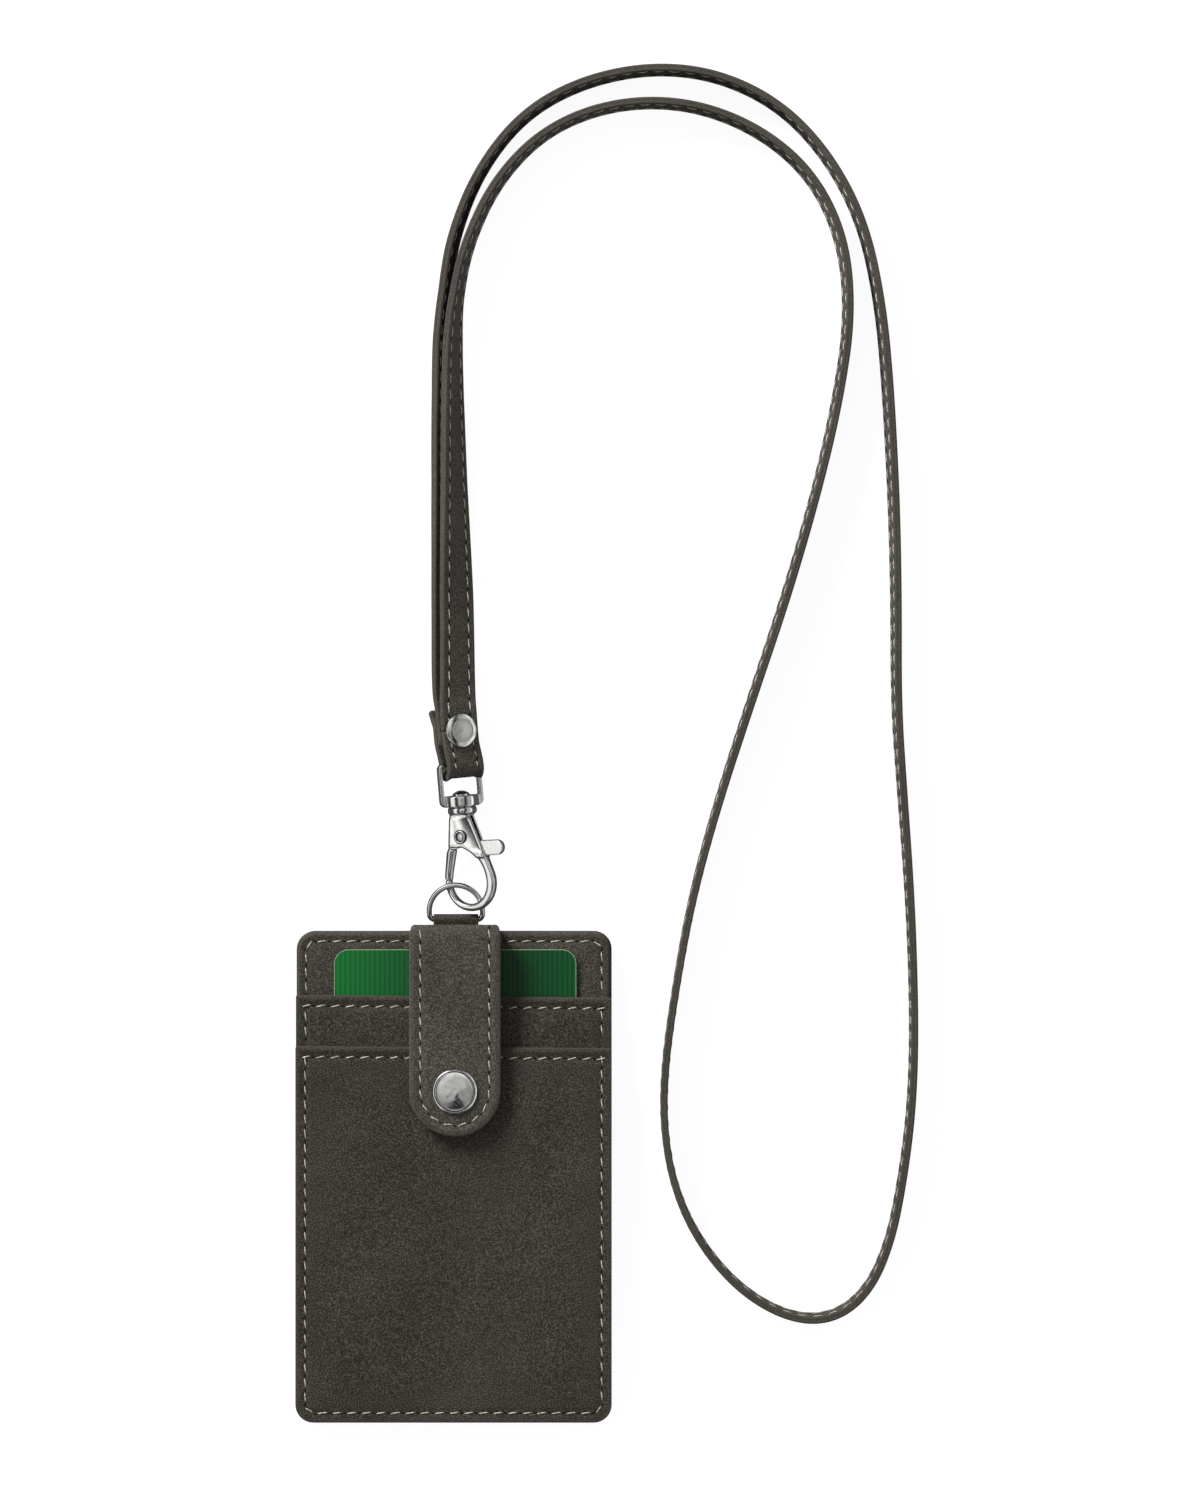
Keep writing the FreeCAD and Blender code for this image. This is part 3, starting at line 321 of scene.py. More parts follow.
def card_finish():
    """Printed rigid vinyl card under a gloss film: fine upright ribs of tone about a millimetre apart on a
    green, darkened towards the right by a painted shadow of the flap, and the pale core at its bevelled rim."""
    finish, tree, place = new_finish("printed_card_vinyl")
    ribs = add_node(tree, "ShaderNodeTexWave", {
        "Vector": place, "Scale": per_mm(1.1) * 2.0 * np.pi / 20.0, "Distortion": 0.0},
        wave_type="BANDS", bands_direction="X", wave_profile="SIN").outputs["Fac"]
    across = add_node(tree, "ShaderNodeSeparateXYZ", {"Vector": place}).outputs["X"]
    # Painted shadow: the green darkens from left to right, for the flap's shadow on the card.
    green_with_painted_shadow = ramp(tree, mapped(tree, across, -27.0 * MM, 27.0 * MM),
                  (0.0, "#14662c"), (0.35, "#144f26"), (0.75, "#0d381b"), (1.0, "#114622"))
    lines = ramp(tree, ribs, (0.0, "#d2d2d2"), (1.0, "#ffffff"))
    print_with_painted_shadow = mixed(tree, 1.0, green_with_painted_shadow, lines, blend_type="MULTIPLY")
    # The print ends a little inside the rounded outline, and only the two broad faces have it.
    facing = add_node(tree, "ShaderNodeNewGeometry").outputs["Normal"]
    upward = add_node(tree, "ShaderNodeSeparateXYZ", {"Vector": facing}).outputs["Z"]
    printed = reckoned(tree, "GREATER_THAN", reckoned(tree, "ABSOLUTE", upward), 0.5)
    corner, half = CARD_CORNER * MM, (CARD_HIGH - CARD_LOW) * 0.5 * MM
    middle = (CARD_HIGH + CARD_LOW) * 0.5 * MM
    past = place
    for operation, *other in (("SUBTRACT", (*middle, 0.0)), ("ABSOLUTE",),
                              ("SUBTRACT", (*(half - corner), 1.0)), ("MAXIMUM", (0.0, 0.0, 0.0))):
        past = add_node(tree, "ShaderNodeVectorMath", dict(enumerate((past, *other))),
                        operation=operation).outputs[0]
    away = add_node(tree, "ShaderNodeVectorMath", {0: past}, operation="LENGTH").outputs["Value"]
    inside = reckoned(tree, "LESS_THAN", away, corner - CARD_RIM * MM)
    inked = reckoned(tree, "MULTIPLY", printed, inside)
    film = noise(tree, place, per_mm(0.5))
    end_finish(tree, Base_Color=mixed(tree, inked, linear("#76906f"), print_with_painted_shadow),
               Roughness=mapped(tree, film, 0.0, 1.0, 0.38, 0.5), Specular_IOR_Level=0.2)
    return finish


def grained_finish(name, size, tones, raised=None, **inputs):
    """A material with one grain of a size in millimetres, which gives its tones and, where it has one, a
    relief of a strength and a depth."""
    finish, tree, place = new_finish(name)
    grain = noise(tree, place, per_mm(size))
    if raised:
        inputs["Normal"] = relief(tree, grain, *raised)
    end_finish(tree, Base_Color=ramp(tree, grain, *tones), **inputs)
    return finish


# Leather of the covers, the flap, the lining and the strap: dark, middle and pale tone, and its raw edge.
COVER_LEATHER = leather_finish("brushed_cover_leather", "#1e1b18", "#34302b", "#5d5852", "#403c37")
# Painted light: the flap's leather is a paler copy of the covers', for the brighter light the flap catches.
FLAP_LEATHER = leather_finish("brushed_flap_leather", "#292622", "#3f3c36", "#69655d", "#48453f")
LINING_LEATHER = leather_finish("brushed_lining_leather", "#24211d", "#3a3731", "#645f58", "#45413b")
STRAP_LEATHER = leather_finish("brushed_strap_leather", "#2d2a26", "#44413b", "#68635c", "#3d3934")
# Chrome on cast zinc and on steel wire is a clear mirror, the skin of pressed brass blurs it a little, and
# bare spring steel is greyer and duller: tone, roughness, and the waves of the skin in millimetres.
CHROMED_ZINC = plated_finish("chromed_die_cast_zinc", "#dcdcda", 0.06, 3.0)
CHROMED_STEEL = plated_finish("chromed_steel_wire", "#d8d8d6", 0.05, 4.0)
CHROMED_BRASS = plated_finish("chromed_pressed_brass", "#dadad8", 0.1, 3.2)
SPRING_STEEL = plated_finish("spring_steel_strip", "#8e8c88", 0.28, 2.0)
PRINTED_CARD = card_finish()
# Clear soft vinyl sheet: see-through with a gloss, and the faint waviness of a rolled film.
CLEAR_VINYL = grained_finish("clear_soft_vinyl", 6.0, ((0.3, "#eef0ee"), (0.7, "#f8f9f7")), (0.3, 0.2),
                             Roughness=0.08, IOR=1.53, Transmission_Weight=1.0)
# Waxed polyester thread: two plies twisted together, a dull grey-white with a soft shine.
THREAD = grained_finish("waxed_polyester_thread", 0.35,
                        ((0.3, "#6b675f"), (0.55, "#a8a49b"), (0.75, "#d4d0c6")), (0.4, 0.1), Roughness=0.55)
# Needle holes: painted shade, almost black with a faint grain, for the shadow inside each hole.
NEEDLE_HOLE = grained_finish("needle_hole_painted_shade", 0.2, ((0.3, "#050505"), (0.7, "#0e0d0c")), Roughness=0.95)


def grid_faces(rows, columns, ends="drawn in"):
    """Faces of a grid of closed rows that is numbered row by row: quads between neighbouring rows and
    columns, the last column joined to the first. The first and last row are drawn in to nothing, capped, or
    joined to each other."""
    number = np.arange(rows * columns).reshape(rows, columns)
    if ends == "joined":
        number = np.concatenate([number, number[:1]])
    number = np.concatenate([number, number[:, :1]], axis=1)
    corners = (number[:-1, :-1], number[:-1, 1:], number[1:, 1:], number[1:, :-1])
    faces = np.stack(corners, axis=-1).reshape(-1, 4).tolist()
    if ends == "capped":
        faces += [list(range(columns)), list(range((rows - 1) * columns, rows * columns))]
    return faces


def add_object(name, data):
    """An object of the scene that shows the given data."""
    item = bpy.data.objects.new(name, data)
    bpy.context.scene.collection.objects.link(item)
    return item


def clean_mesh(mesh, distance, outwards):
    """Merges a mesh's doubles within a distance, if there is one, and may turn its faces outwards."""
    work = bmesh.new()
    work.from_mesh(mesh)
    if distance:
        bmesh.ops.remove_doubles(work, verts=work.verts, dist=distance)
    if outwards:
        bmesh.ops.recalc_face_normals(work, faces=work.faces)
    work.to_mesh(mesh)
    work.free()


def show_mesh(name, mesh, finish):
    """A smooth piece of the visual model in one finish, from its final mesh."""
    mesh.polygons.foreach_set("use_smooth", np.ones(len(mesh.polygons), dtype=bool))
    mesh.materials.clear()
    mesh.materials.append(finish)
    piece = add_object(name, mesh)
    return piece


def make_piece(name, points, finish, edge=None, ends="drawn in", faces=None):
    """A piece from points in millimetres, as a grid of closed rows with its doubles merged, or as many small
    copies with faces of their own. Its faces are turned outwards and smoothed, and the share of rubbed edge
    or of painted shade in crevices at each point is kept with it."""
    mesh = bpy.data.meshes.new(name)
    mesh.from_pydata((points.reshape(-1, 3) * MM).tolist(), [], faces or grid_faces(*points.shape[:2], ends))
    if edge is not None:
        share = np.broadcast_to(edge, points.shape[:-1]).astype(np.float32)
        mesh.attributes.new("edge", "FLOAT", "POINT").data.foreach_set("value", share.ravel())
    clean_mesh(mesh, 0.0 if faces else 0.0005 * MM, True)
    return show_mesh(name, mesh, finish)


def stand_in(piece, body, *nodes):
    """Shows a piece in place of the part's own solids, on one of its bodies."""
    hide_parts(*nodes)
    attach(piece, body)
    return piece


# Points on each corner of an outline, and between the corners on its bottom, right, top and left side.
CORNER_STEPS = 9
SIDE_STEPS = (26, 40, 26, 40)


def rounded_outline(low, high, radii):
    """Closed outline of a rectangle, anticlockwise from its lower left corner: a quarter circle of its own
    radius at each corner, and the straight sides between them cut into equal steps."""
    turns = np.radians(np.linspace(0.0, 90.0, CORNER_STEPS))
    corners = []
    for number, inward in enumerate(((1, 1), (-1, 1), (-1, -1), (1, -1))):
        corner = np.where(np.array(inward) > 0, low, high)
        centre = corner + radii[number] * np.array(inward)
        angle = turns + np.pi * (1.0 + 0.5 * number)
        corners.append(centre + radii[number] * np.stack([np.cos(angle), np.sin(angle)], axis=-1))
    parts = []
    for number, bend in enumerate(corners):
        following = corners[(number + 1) % 4]
        share = np.linspace(0.0, 1.0, SIDE_STEPS[number] + 2)[1:-1, None]
        parts += [bend, bend[-1] + share * (following[0] - bend[-1])]
    return np.concatenate(parts)


def drawn_in(low, high, radii, inset):
    """The rounded outline drawn in by a distance on every side, its corner radii less by as much."""
    return rounded_outline(low + inset, high - inset, np.maximum(np.array(radii) - inset, 0.0))


def seam(inset, line):
    """Depth of the pulled-in seam: a bell across the stitch line, in millimetres."""
    return SEAM_DEPTH * np.exp(-((inset - line) / SEAM_WIDTH) ** 2)


def round_edge(radius, count):
    """Quarter circle of a sheet's edge: its distances in from the outline and its drops below the face."""
    turn = np.radians(np.linspace(0.0, 90.0, count))
    return radius * (1.0 - np.cos(turn)), radius * (1.0 - np.sin(turn))


def rubbed_share(inset):
    """Share of rubbed edge: a bell that falls from the edge inwards."""
    return np.exp(-(inset / RUBBED_WIDTH) ** 2)


def sheet_rings(low, high, radii, edge, line):
    """Outlines from the edge to the middle of a sheet, as arrays of x and y, with each one's inset and its
    drop at the rounded edge: close together as far as the seam line, wider apart towards the middle."""
    past_seam = line + 2.0
    inset, drop = round_edge(edge, 6)
    flat = np.concatenate([np.linspace(edge, past_seam, 12)[1:],
                           np.linspace(past_seam, 0.5 * np.min(high - low), 12)[1:]])
    inset = np.concatenate([inset, flat])
    drop = np.concatenate([drop, np.zeros(len(flat))])
    rings = np.stack([drawn_in(low, high, radii, step) for step in inset])
    return rings, inset[:, None], drop[:, None]


def joined_faces(name, lower, upper, finish, rubbed=None):
    """A closed sheet from the outlines of its two faces: the lower ones from the middle out to the edge, then
    the upper ones back in to the middle."""
    points = np.concatenate([lower[::-1], upper])
    if rubbed is not None:
        rubbed = np.concatenate([rubbed[::-1], rubbed])
    return make_piece(name, points, finish, rubbed)


def leather_sheet(name, low, high, radii, heights, lift, finish, edge=LEATHER_EDGE, slope=0.0):
    """A closed sheet of leather: concentric outlines, the upper ones at the top height plus lift(x, y,
    inset), the lower ones at the bottom height, joined by a half round edge. The slope lets the top edge
    run down to the right, and less so the nearer the bottom."""
    rings, inset, drop = sheet_rings(low, high, radii, edge, STITCH_INSET)
    x, y = rings[..., 0], rings[..., 1]
    sloped = y - slope * x * (y - low[1]) / (high[1] - low[1])
    bottom = heights[0] + drop
    top = heights[1] - drop + lift(x, y, inset) * (inset > edge)
    lower, upper = (np.stack(np.broadcast_arrays(x, sloped, level), axis=-1) for level in (bottom, top))
    return joined_faces(name, lower, upper, finish, rubbed_share(inset))


def waves(x, y):
    """Slow unevenness of a sheet: two crossed sine waves of a few centimetres."""
    return WAVE_HEIGHT * (np.sin(x / 9.0 + 0.6) * np.cos(y / 13.0) + 0.6 * np.sin(x / 17.0 - y / 11.0 + 1.2))


def lined_board_lift(x, y, inset):
    """The lining dips along its seam and is flat elsewhere."""
    return -seam(inset, STITCH_INSET)


def rolled_top(y, top):
    """The turned edge of a pocket: a low bead just under its top edge, and the seam below it."""
    below = top - y
    return BEAD_HEIGHT * np.exp(-((below - BEAD_DROP) / BEAD_WIDTH) ** 2) - seam(below, POCKET_STITCH_DROP)


def pocket_lift(top):
    """Height of a pocket's face over its sheet: pulled in at the side and bottom seams, rolled at the top,
    a gentle fullness in the middle and slow waves."""
    def lift(x, y, inset):
        sides = np.minimum(WALLET_HIGH[0] - np.abs(x), y - WALLET_LOW[1])
        past_seam = inset - STITCH_INSET
        full = FULL_HEIGHT * (1.0 - np.exp(-np.maximum(past_seam, 0.0) / FULL_REACH))
        calm = np.clip(past_seam / WAVE_REACH, 0.0, 1.0)
        return rolled_top(y, top) - seam(sides, STITCH_INSET) + full + calm * waves(x, y)
    return lift


def make_back_cover():
    """The back cover: a frame of leather between the wallet's outline and the window's. A closed band of
    rows goes round its section, with both edges rounded."""
    inset, drop = round_edge(LEATHER_EDGE, 5)
    outer = np.stack([drawn_in(WALLET_LOW, WALLET_HIGH, WALLET_RADII, step) for step in inset])
    inner = np.stack([drawn_in(WINDOW_LOW, WINDOW_HIGH, np.full(4, WINDOW_CORNER), -step) for step in inset])
    share = np.linspace(0.0, 1.0, 16)[1:-1, None, None]
    middle = outer[-1] + share * (inner[-1] - outer[-1])
    face = np.concatenate([outer, middle, inner[::-1]])
    fall = np.concatenate([drop, np.zeros(len(middle)), drop[::-1]])[:, None]
    away = np.minimum(WALLET_HIGH[0] - np.abs(face[..., 0]), WALLET_HIGH[1] - np.abs(face[..., 1]))
    upper = BACK_COVER[1] - fall + np.zeros_like(away)
    lower = BACK_COVER[0] + fall + seam(away, STITCH_INSET)
    upper, lower = (np.concatenate([face, level[..., None]], axis=-1) for level in (upper, lower))
    points = np.concatenate([upper, lower[::-1]])
    rubbed = (fall > 0.05).astype(float)
    return make_piece("back_cover", points, COVER_LEATHER,
                      np.concatenate([rubbed, rubbed[::-1]]), ends="joined")


def open_outline(low, high, radii, inset, side):
    """A rounded outline with one of its sides left open, as a line of points from one end of the gap to
    the other. Sides are numbered from the bottom, anticlockwise."""
    outline = drawn_in(low, high, radii, inset)
    start = sum(SIDE_STEPS[:side + 1]) + CORNER_STEPS * (side + 1)
    return np.roll(outline, -start, axis=0)[:len(outline) - SIDE_STEPS[side]]


def make_hem(name, low, high, radii, heights, side, node):
    """A strip of leather between two layers along three sides: a rounded section carried along the open
    outline, each of its points drawn in by its own distance."""
    (near, far), (bottom, top) = HEM_REACH, heights
    section = rounded_outline(np.array((near, bottom)), np.array((far, top)), np.full(4, HEM_CORNER))
    lines = np.stack([open_outline(low, high, radii, inset, side) for inset in section[:, 0]], axis=1)
    level = np.broadcast_to(section[:, 1], lines.shape[:2])
    points = np.concatenate([lines, level[..., None]], axis=-1)
    hem = make_piece(name, points, LINING_LEATHER, HEM_RUBBED, ends="capped")
    stand_in(hem, "wallet", node)


def make_window_sheet():
    """The clear window: a sheet a little larger than the cut-out behind the back cover, bulging slightly
    into it."""
    rings, inset, drop = sheet_rings(
        WINDOW_LOW - WINDOW_MARGIN, WINDOW_HIGH + WINDOW_MARGIN, np.full(4, WINDOW_CORNER + WINDOW_MARGIN),
        WINDOW_EDGE, WINDOW_MARGIN)
    x, y = rings[..., 0], rings[..., 1]
    bulge = WINDOW_BULGE * np.clip((inset - WINDOW_MARGIN) / WINDOW_BULGE_REACH, 0.0, 1.0) ** 0.7
    levels = (WINDOW_SHEET[0] + WINDOW_GAP + drop - bulge, WINDOW_SHEET[1] - drop - bulge)
    lower, upper = (np.stack(np.broadcast_arrays(x, y, level), axis=-1) for level in levels)
    return joined_faces("window_sheet", lower, upper, CLEAR_VINYL)


upper_high = np.array((WALLET_HIGH[0], UPPER_POCKET_TOP))
front_high = np.array((WALLET_HIGH[0], FRONT_POCKET_TOP))

back_cover = stand_in(make_back_cover(), "wallet", "back_panel")
window_sheet = stand_in(make_window_sheet(), "wallet", "id_window")
lined_board = leather_sheet("lined_board", WALLET_LOW, WALLET_HIGH, WALLET_RADII, LINED_BOARD,
                            lined_board_lift, LINING_LEATHER, edge=BOARD_EDGE)
stand_in(lined_board, "wallet", "stiffener_board", "lining")
upper_pocket = leather_sheet("upper_pocket_face", WALLET_LOW, upper_high, POCKET_RADII, UPPER_POCKET,
                             pocket_lift(UPPER_POCKET_TOP), COVER_LEATHER,
                             slope=UPPER_POCKET_SLOPE)
stand_in(upper_pocket, "wallet", "upper_pocket")
front_pocket = leather_sheet("front_pocket_face", WALLET_LOW, front_high, POCKET_RADII, FRONT_POCKET,
                             pocket_lift(FRONT_POCKET_TOP), COVER_LEATHER,
                             slope=FRONT_POCKET_SLOPE)
stand_in(front_pocket, "wallet", "front_pocket")
make_hem("badge_slot_hem", WALLET_LOW, WALLET_HIGH, WALLET_RADII, BACK_HEM, 1, "back_hem")
make_hem("card_slot_hem", WALLET_LOW, upper_high, POCKET_RADII, UPPER_HEM, 2, "upper_pocket_hem")
make_hem("front_slot_hem", WALLET_LOW, front_high, POCKET_RADII, FRONT_HEM, 2, "front_pocket_hem")


def unit(vectors):
    """Vectors divided by their own lengths."""
    return vectors / np.linalg.norm(vectors, axis=-1, keepdims=True)


def distances(points):
    """Distance of each point of a line from its start, along the line."""
    return np.concatenate([[0.0], np.cumsum(np.linalg.norm(np.diff(points, axis=0), axis=1))])


def along_line(points, places):
    """Points at given distances along a line of points."""
    run = distances(points)
    return np.stack([np.interp(places, run, points[:, axis]) for axis in range(points.shape[1])], axis=-1)


def bent_line(points, count):
    """A line in y and z cut into even steps, with its normals: each step turned a quarter to the left."""
    line = along_line(points, np.linspace(0.0, distances(points)[-1], count))
    step = unit(np.gradient(line, axis=0))
    return line, np.column_stack([np.zeros(count), -step[:, 1], step[:, 0]])


def arc(centre, radius, start, finish, steps=7):
    """Points of an arc from one angle to another, in degrees."""
    angle = np.radians(np.linspace(start, finish, steps))
    return np.array(centre) + radius * np.stack([np.cos(angle), np.sin(angle)], axis=-1)


def flap_line():
    """Middle line of the flap in y and z, from its free end: along the front, a quarter turn down over the
    wallet's top edge, down behind it, and a quarter turn in to the sewn root."""
    over = arc((FLAP_BACK - FLAP_FOLD, FLAP_MIDDLE - FLAP_FOLD), FLAP_FOLD, 90.0, 0.0)
    under = arc((FLAP_BACK - FLAP_TURN_IN, FLAP_ROOT_MIDDLE + FLAP_TURN_IN), FLAP_TURN_IN, 0.0, -90.0)
    return np.concatenate([[(FLAP_TIP, FLAP_MIDDLE)], over, under, [(FLAP_ROOT_END, FLAP_ROOT_MIDDLE)]])


def make_flap():
    """The flap: a flat sheet of leather with a half round end, worked out across and along, then laid on
    its middle line. It is beaded along its edge, dips along its seam and narrows a little at the fold, and
    its thickness falls from two layers to one towards the root. Also its length."""
    line = flap_line()
    length = distances(line)[-1]
    rings, inset, drop = sheet_rings(
        np.array((-FLAP_HALF_WIDTH, 0.0)), np.array((FLAP_HALF_WIDTH, length)),
        np.array((FLAP_HALF_WIDTH, FLAP_HALF_WIDTH, 0.4, 0.4)), FLAP_EDGE, FLAP_STITCH_INSET)
    across, along = rings[..., 0], rings[..., 1]
    fold = FLAP_BACK - FLAP_TIP
    front = fold + FLAP_FOLD
    turned_in = np.clip((along - fold - FLAP_FOLD_IN_START) / FLAP_FOLD_IN_RUN, 0.0, 1.0)
    across = across * (1.0 - FLAP_FOLD_IN * turned_in ** 3)
    from_end = np.where(along < FLAP_HALF_WIDTH, inset, np.inf)
    side = np.minimum(FLAP_HALF_WIDTH - np.abs(across), from_end)
    bead = FLAP_BEAD_HEIGHT * np.exp(-((side - FLAP_BEAD_INSET) / FLAP_BEAD_WIDTH) ** 2)
    relief = np.where(along < front, bead - seam(side, FLAP_STITCH_INSET), 0.0) * (inset > FLAP_EDGE)
    thin = np.clip((along - front) / FLAP_THINNING, 0.0, 1.0)
    half = 0.5 * (FLAP_THICKNESS + thin * (FLAP_ROOT_THICKNESS - FLAP_THICKNESS))
    face = half - drop * half / (0.5 * FLAP_THICKNESS)
    place = along_line(line, along)
    ahead = along_line(line, np.clip(along + 0.05, 0.0, length))
    behind = along_line(line, np.clip(along - 0.05, 0.0, length))
    step = unit(ahead - behind)
    outward = np.stack([-step[..., 1], step[..., 0]], axis=-1)
    lower, upper = (
        np.concatenate([(FLAP_CENTRE + across)[..., None], place + outward * height[..., None]], axis=-1)
        for height in (-face, face + relief))
    sheet = joined_faces("flap_leather", lower, upper, FLAP_LEATHER, rubbed_share(inset))
    return sheet, length


flap, flap_length = make_flap()
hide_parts("flap_root", "flap_outer", "flap_lining")
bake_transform(flap)


# Strap sections: corner radius as a share of the thickness, depth and width of the pulled-in seams, and those
# of the groove between the two plies.
STRAP_CORNER = 0.22
STRAP_SEAM_DEPTH = 0.13
STRAP_SEAM_WIDTH = 0.5
PLY_GROOVE_DEPTH = 0.07
PLY_GROOVE_WIDTH = 0.16


def strap_section(width, thickness, stitched):
    """Closed section of a flat strap of two plies: broad faces that dip along the stitch lines, rounded
    corners, and narrow edges with a groove where the plies meet. The second half is the first one turned by
    half a turn. Also the share of raw edge."""
    corner = STRAP_CORNER * thickness
    side, face = 0.5 * width - corner, 0.5 * thickness - corner
    broad, narrow = np.linspace(-side, side, 19), np.linspace(face, -face, 7)
    from_seam = (np.abs(broad) - STRAP_STITCH_REACH) / STRAP_SEAM_WIDTH
    dip = stitched * STRAP_SEAM_DEPTH * np.exp(-from_seam ** 2)
    groove = PLY_GROOVE_DEPTH * np.exp(-(narrow / PLY_GROOVE_WIDTH) ** 2)
    turn = np.radians(np.linspace(0.0, 90.0, 4))[1:-1]
    upper = np.stack([side + corner * np.sin(turn), face + corner * np.cos(turn)])
    lower = (upper * np.array([[1.0], [-1.0]]))[:, ::-1]
    half = np.concatenate([np.stack([broad, face + corner - dip]), upper,
                           np.stack([side + corner - groove, narrow]), lower], axis=1)
    section = np.concatenate([half, -half], axis=1).T
    raw = np.clip((np.abs(section[:, 0]) - side) / corner, 0.0, 1.0)
    return section, raw


def carried(centres, widths, normals, section):
    """A closed section carried along a line: each of its points goes out along that place's width and
    normal directions."""
    return (centres[:, None] + widths[:, None] * section[None, :, :1]
            + normals[:, None] * section[None, :, 1:])


def turned(degrees, first, second):
    """Turn about an axis: the matrix that turns the first coordinate towards the second."""
    matrix = np.eye(3)
    angle = np.radians(degrees)
    matrix[first, first] = matrix[second, second] = np.cos(angle)
    matrix[second, first], matrix[first, second] = np.sin(angle), -np.sin(angle)
    return matrix


BAIL_TURN = turned(CLASP_LEAN, 0, 1) @ turned(CLASP_RISE, 1, 2) @ turned(BAIL_ROLL, 2, 0)


def in_bail(place):
    """Points of the bail's own frame, across, along and out of the strap, in the wallet's frame."""
    return CLASP_ORIGIN + np.asarray(place, dtype=float) @ BAIL_TURN.T


def smooth_line(name, controls, resolution):
    """Points of the NURBS line of order 3 that has the given control points."""
    curve = bpy.data.curves.new(name, "CURVE")
    curve.dimensions = "3D"
    curve.resolution_u = resolution
    spline = curve.splines.new("NURBS")
    spline.points.add(len(controls) - 1)
    spline.points.foreach_set("co", np.column_stack([controls, np.ones(len(controls))]).ravel())
    spline.order_u = 3
    spline.use_endpoint_u = True
    holder = add_object(name, curve)
    bpy.context.view_layer.update()
    mesh = bpy.data.meshes.new_from_object(holder)
    points = mesh_points(mesh)
    bpy.data.objects.remove(holder)
    bpy.data.curves.remove(curve)
    bpy.data.meshes.remove(mesh)
    return points


def mesh_points(mesh):
    """The points of a mesh as one array."""
    points = np.zeros(len(mesh.vertices) * 3)
    mesh.vertices.foreach_get("co", points)
    return points.reshape(-1, 3)


def strap_controls():
    """Control points of the strap from the rivet out, round the loop and back to the rivet, and how flat
    it lies at each in degrees."""
    bail_flat = 90.0 - BAIL_ROLL
    start = in_bail([(0.0, RIVET_PLACE, LAYER_STEP), (0.0, FRONT_LAYER_END, LAYER_STEP)])
    finish = in_bail([(0.0, FRONT_LAYER_END, 0.0), (0.0, REAR_LAYER_START, 0.0)])
    front, rear = np.array(FRONT_LEG), np.array(REAR_LEG)[::-1]
    loop = np.array(LOOP_ROUTE)
    level = np.full((len(loop), 1), LOOP_HEIGHT)
    places = np.concatenate([start, front[:, :3], np.hstack([loop[:, :2], level]), rear[:, :3], finish])
    flats = np.concatenate([[bail_flat] * 2, front[:, 3], loop[:, 2], -rear[:, 3], [-bail_flat] * 2])
    return places, flats


def strap_frames():
    """Middle line of the strap and its width and face directions: the walk along the line and the vertical
    give the side, and the flatness turns the face from the side towards the vertical."""
    controls, flats = strap_controls()
    line = smooth_line("strap_line", controls, 10)
    span = np.linspace(0.0, len(controls) - 2.0, len(line))
    knot = np.clip(np.arange(len(controls)) - 0.5, 0.0, len(controls) - 2.0)
    flat = np.radians(np.interp(span, knot, flats))[:, None]
    walk = unit(np.gradient(line, axis=0))
    side = unit(np.cross(walk, UP))
    upright = np.cross(side, walk)
    normal = side * np.cos(flat) + upright * np.sin(flat)
    width = upright * np.cos(flat) - side * np.sin(flat)
    reach = 0.5 * (STRAP_WIDTH * np.abs(width[:, 2]) + STRAP_THICKNESS * np.abs(normal[:, 2]))
    line[:, 2] = np.maximum(line[:, 2], reach)
    return line, width, normal


strap_line, strap_width, strap_normal = strap_frames()
strap_profile, strap_raw = strap_section(STRAP_WIDTH, STRAP_THICKNESS, 1.0)
strap_points = carried(strap_line, strap_width, strap_normal, strap_profile)
strap = make_piece("lanyard_strap", strap_points, STRAP_LEATHER, strap_raw, ends="capped")
stand_in(strap, "lanyard", "strap_front_leg", "strap_rear_leg", "strap_loop")


def strap_row(line, widths, normals, edge, face=1.0):
    """Line of a stitch row near one edge of the strap, on one of its faces and sunk a little into it."""
    out = face * (0.5 * STRAP_THICKNESS - STRAP_STITCH_SINK)
    return line + edge * STRAP_STITCH_REACH * widths + out * normals


def make_strap_fold():
    """The folded end of the strap: the flat section carried in the bail's frame from the tail behind, which
    stands off at its end, round the bail's bar and up to the rivet in front. Near the bar it moves a little
    aside, and its edges curl down past its middle. A section that would dip below the floor is lifted on to
    it."""
    tail = [(TAIL_END, -LAYER_STEP - TAIL_FLARE), (TAIL_END - 1.6, -LAYER_STEP - 0.6 * TAIL_FLARE),
            (TAIL_END - 3.2, -LAYER_STEP - 0.15), (RIVET_PLACE, -LAYER_STEP)]
    eye = arc((BAR_PLACE, 0.0), LAYER_STEP, 270.0, 90.0, 19)
    line, normals = bent_line(np.concatenate([tail, eye, [(RIVET_PLACE, LAYER_STEP)]]), FOLD_STEPS)
    near_bar = np.clip((FOLD_CALM - line[:, 0]) / (FOLD_CALM - BAR_PLACE), 0.0, 1.0)
    centres = np.column_stack([FOLD_SHIFT * near_bar ** 2 * (3.0 - 2.0 * near_bar), line])
    widths = np.broadcast_to((1.0, 0.0, 0.0), centres.shape)
    points = carried(centres, widths, normals, strap_profile)
    reach = np.abs(strap_profile[:, 0]) / (0.5 * STRAP_WIDTH)
    points[..., 1] -= FOLD_EARS * near_bar[:, None] ** 2 * reach ** 4
    points = in_bail(points)
    points[..., 2] += np.maximum(0.0, -points[..., 2].min(axis=1))[:, None]
    fold = make_piece("strap_end_fold", points, STRAP_LEATHER, strap_raw, ends="capped")
    stand_in(fold, "lanyard", "strap_fold")
    rows = [stitch_places(in_bail(strap_row(centres, widths, normals, edge)[FOLD_STITCHED]),
                          normals[FOLD_STITCHED] @ BAIL_TURN.T, FOLD_PITCH) for edge in (1.0, -1.0)]
    make_stitches("fold_seam", rows, "lanyard", slant=0.25)
    return fold


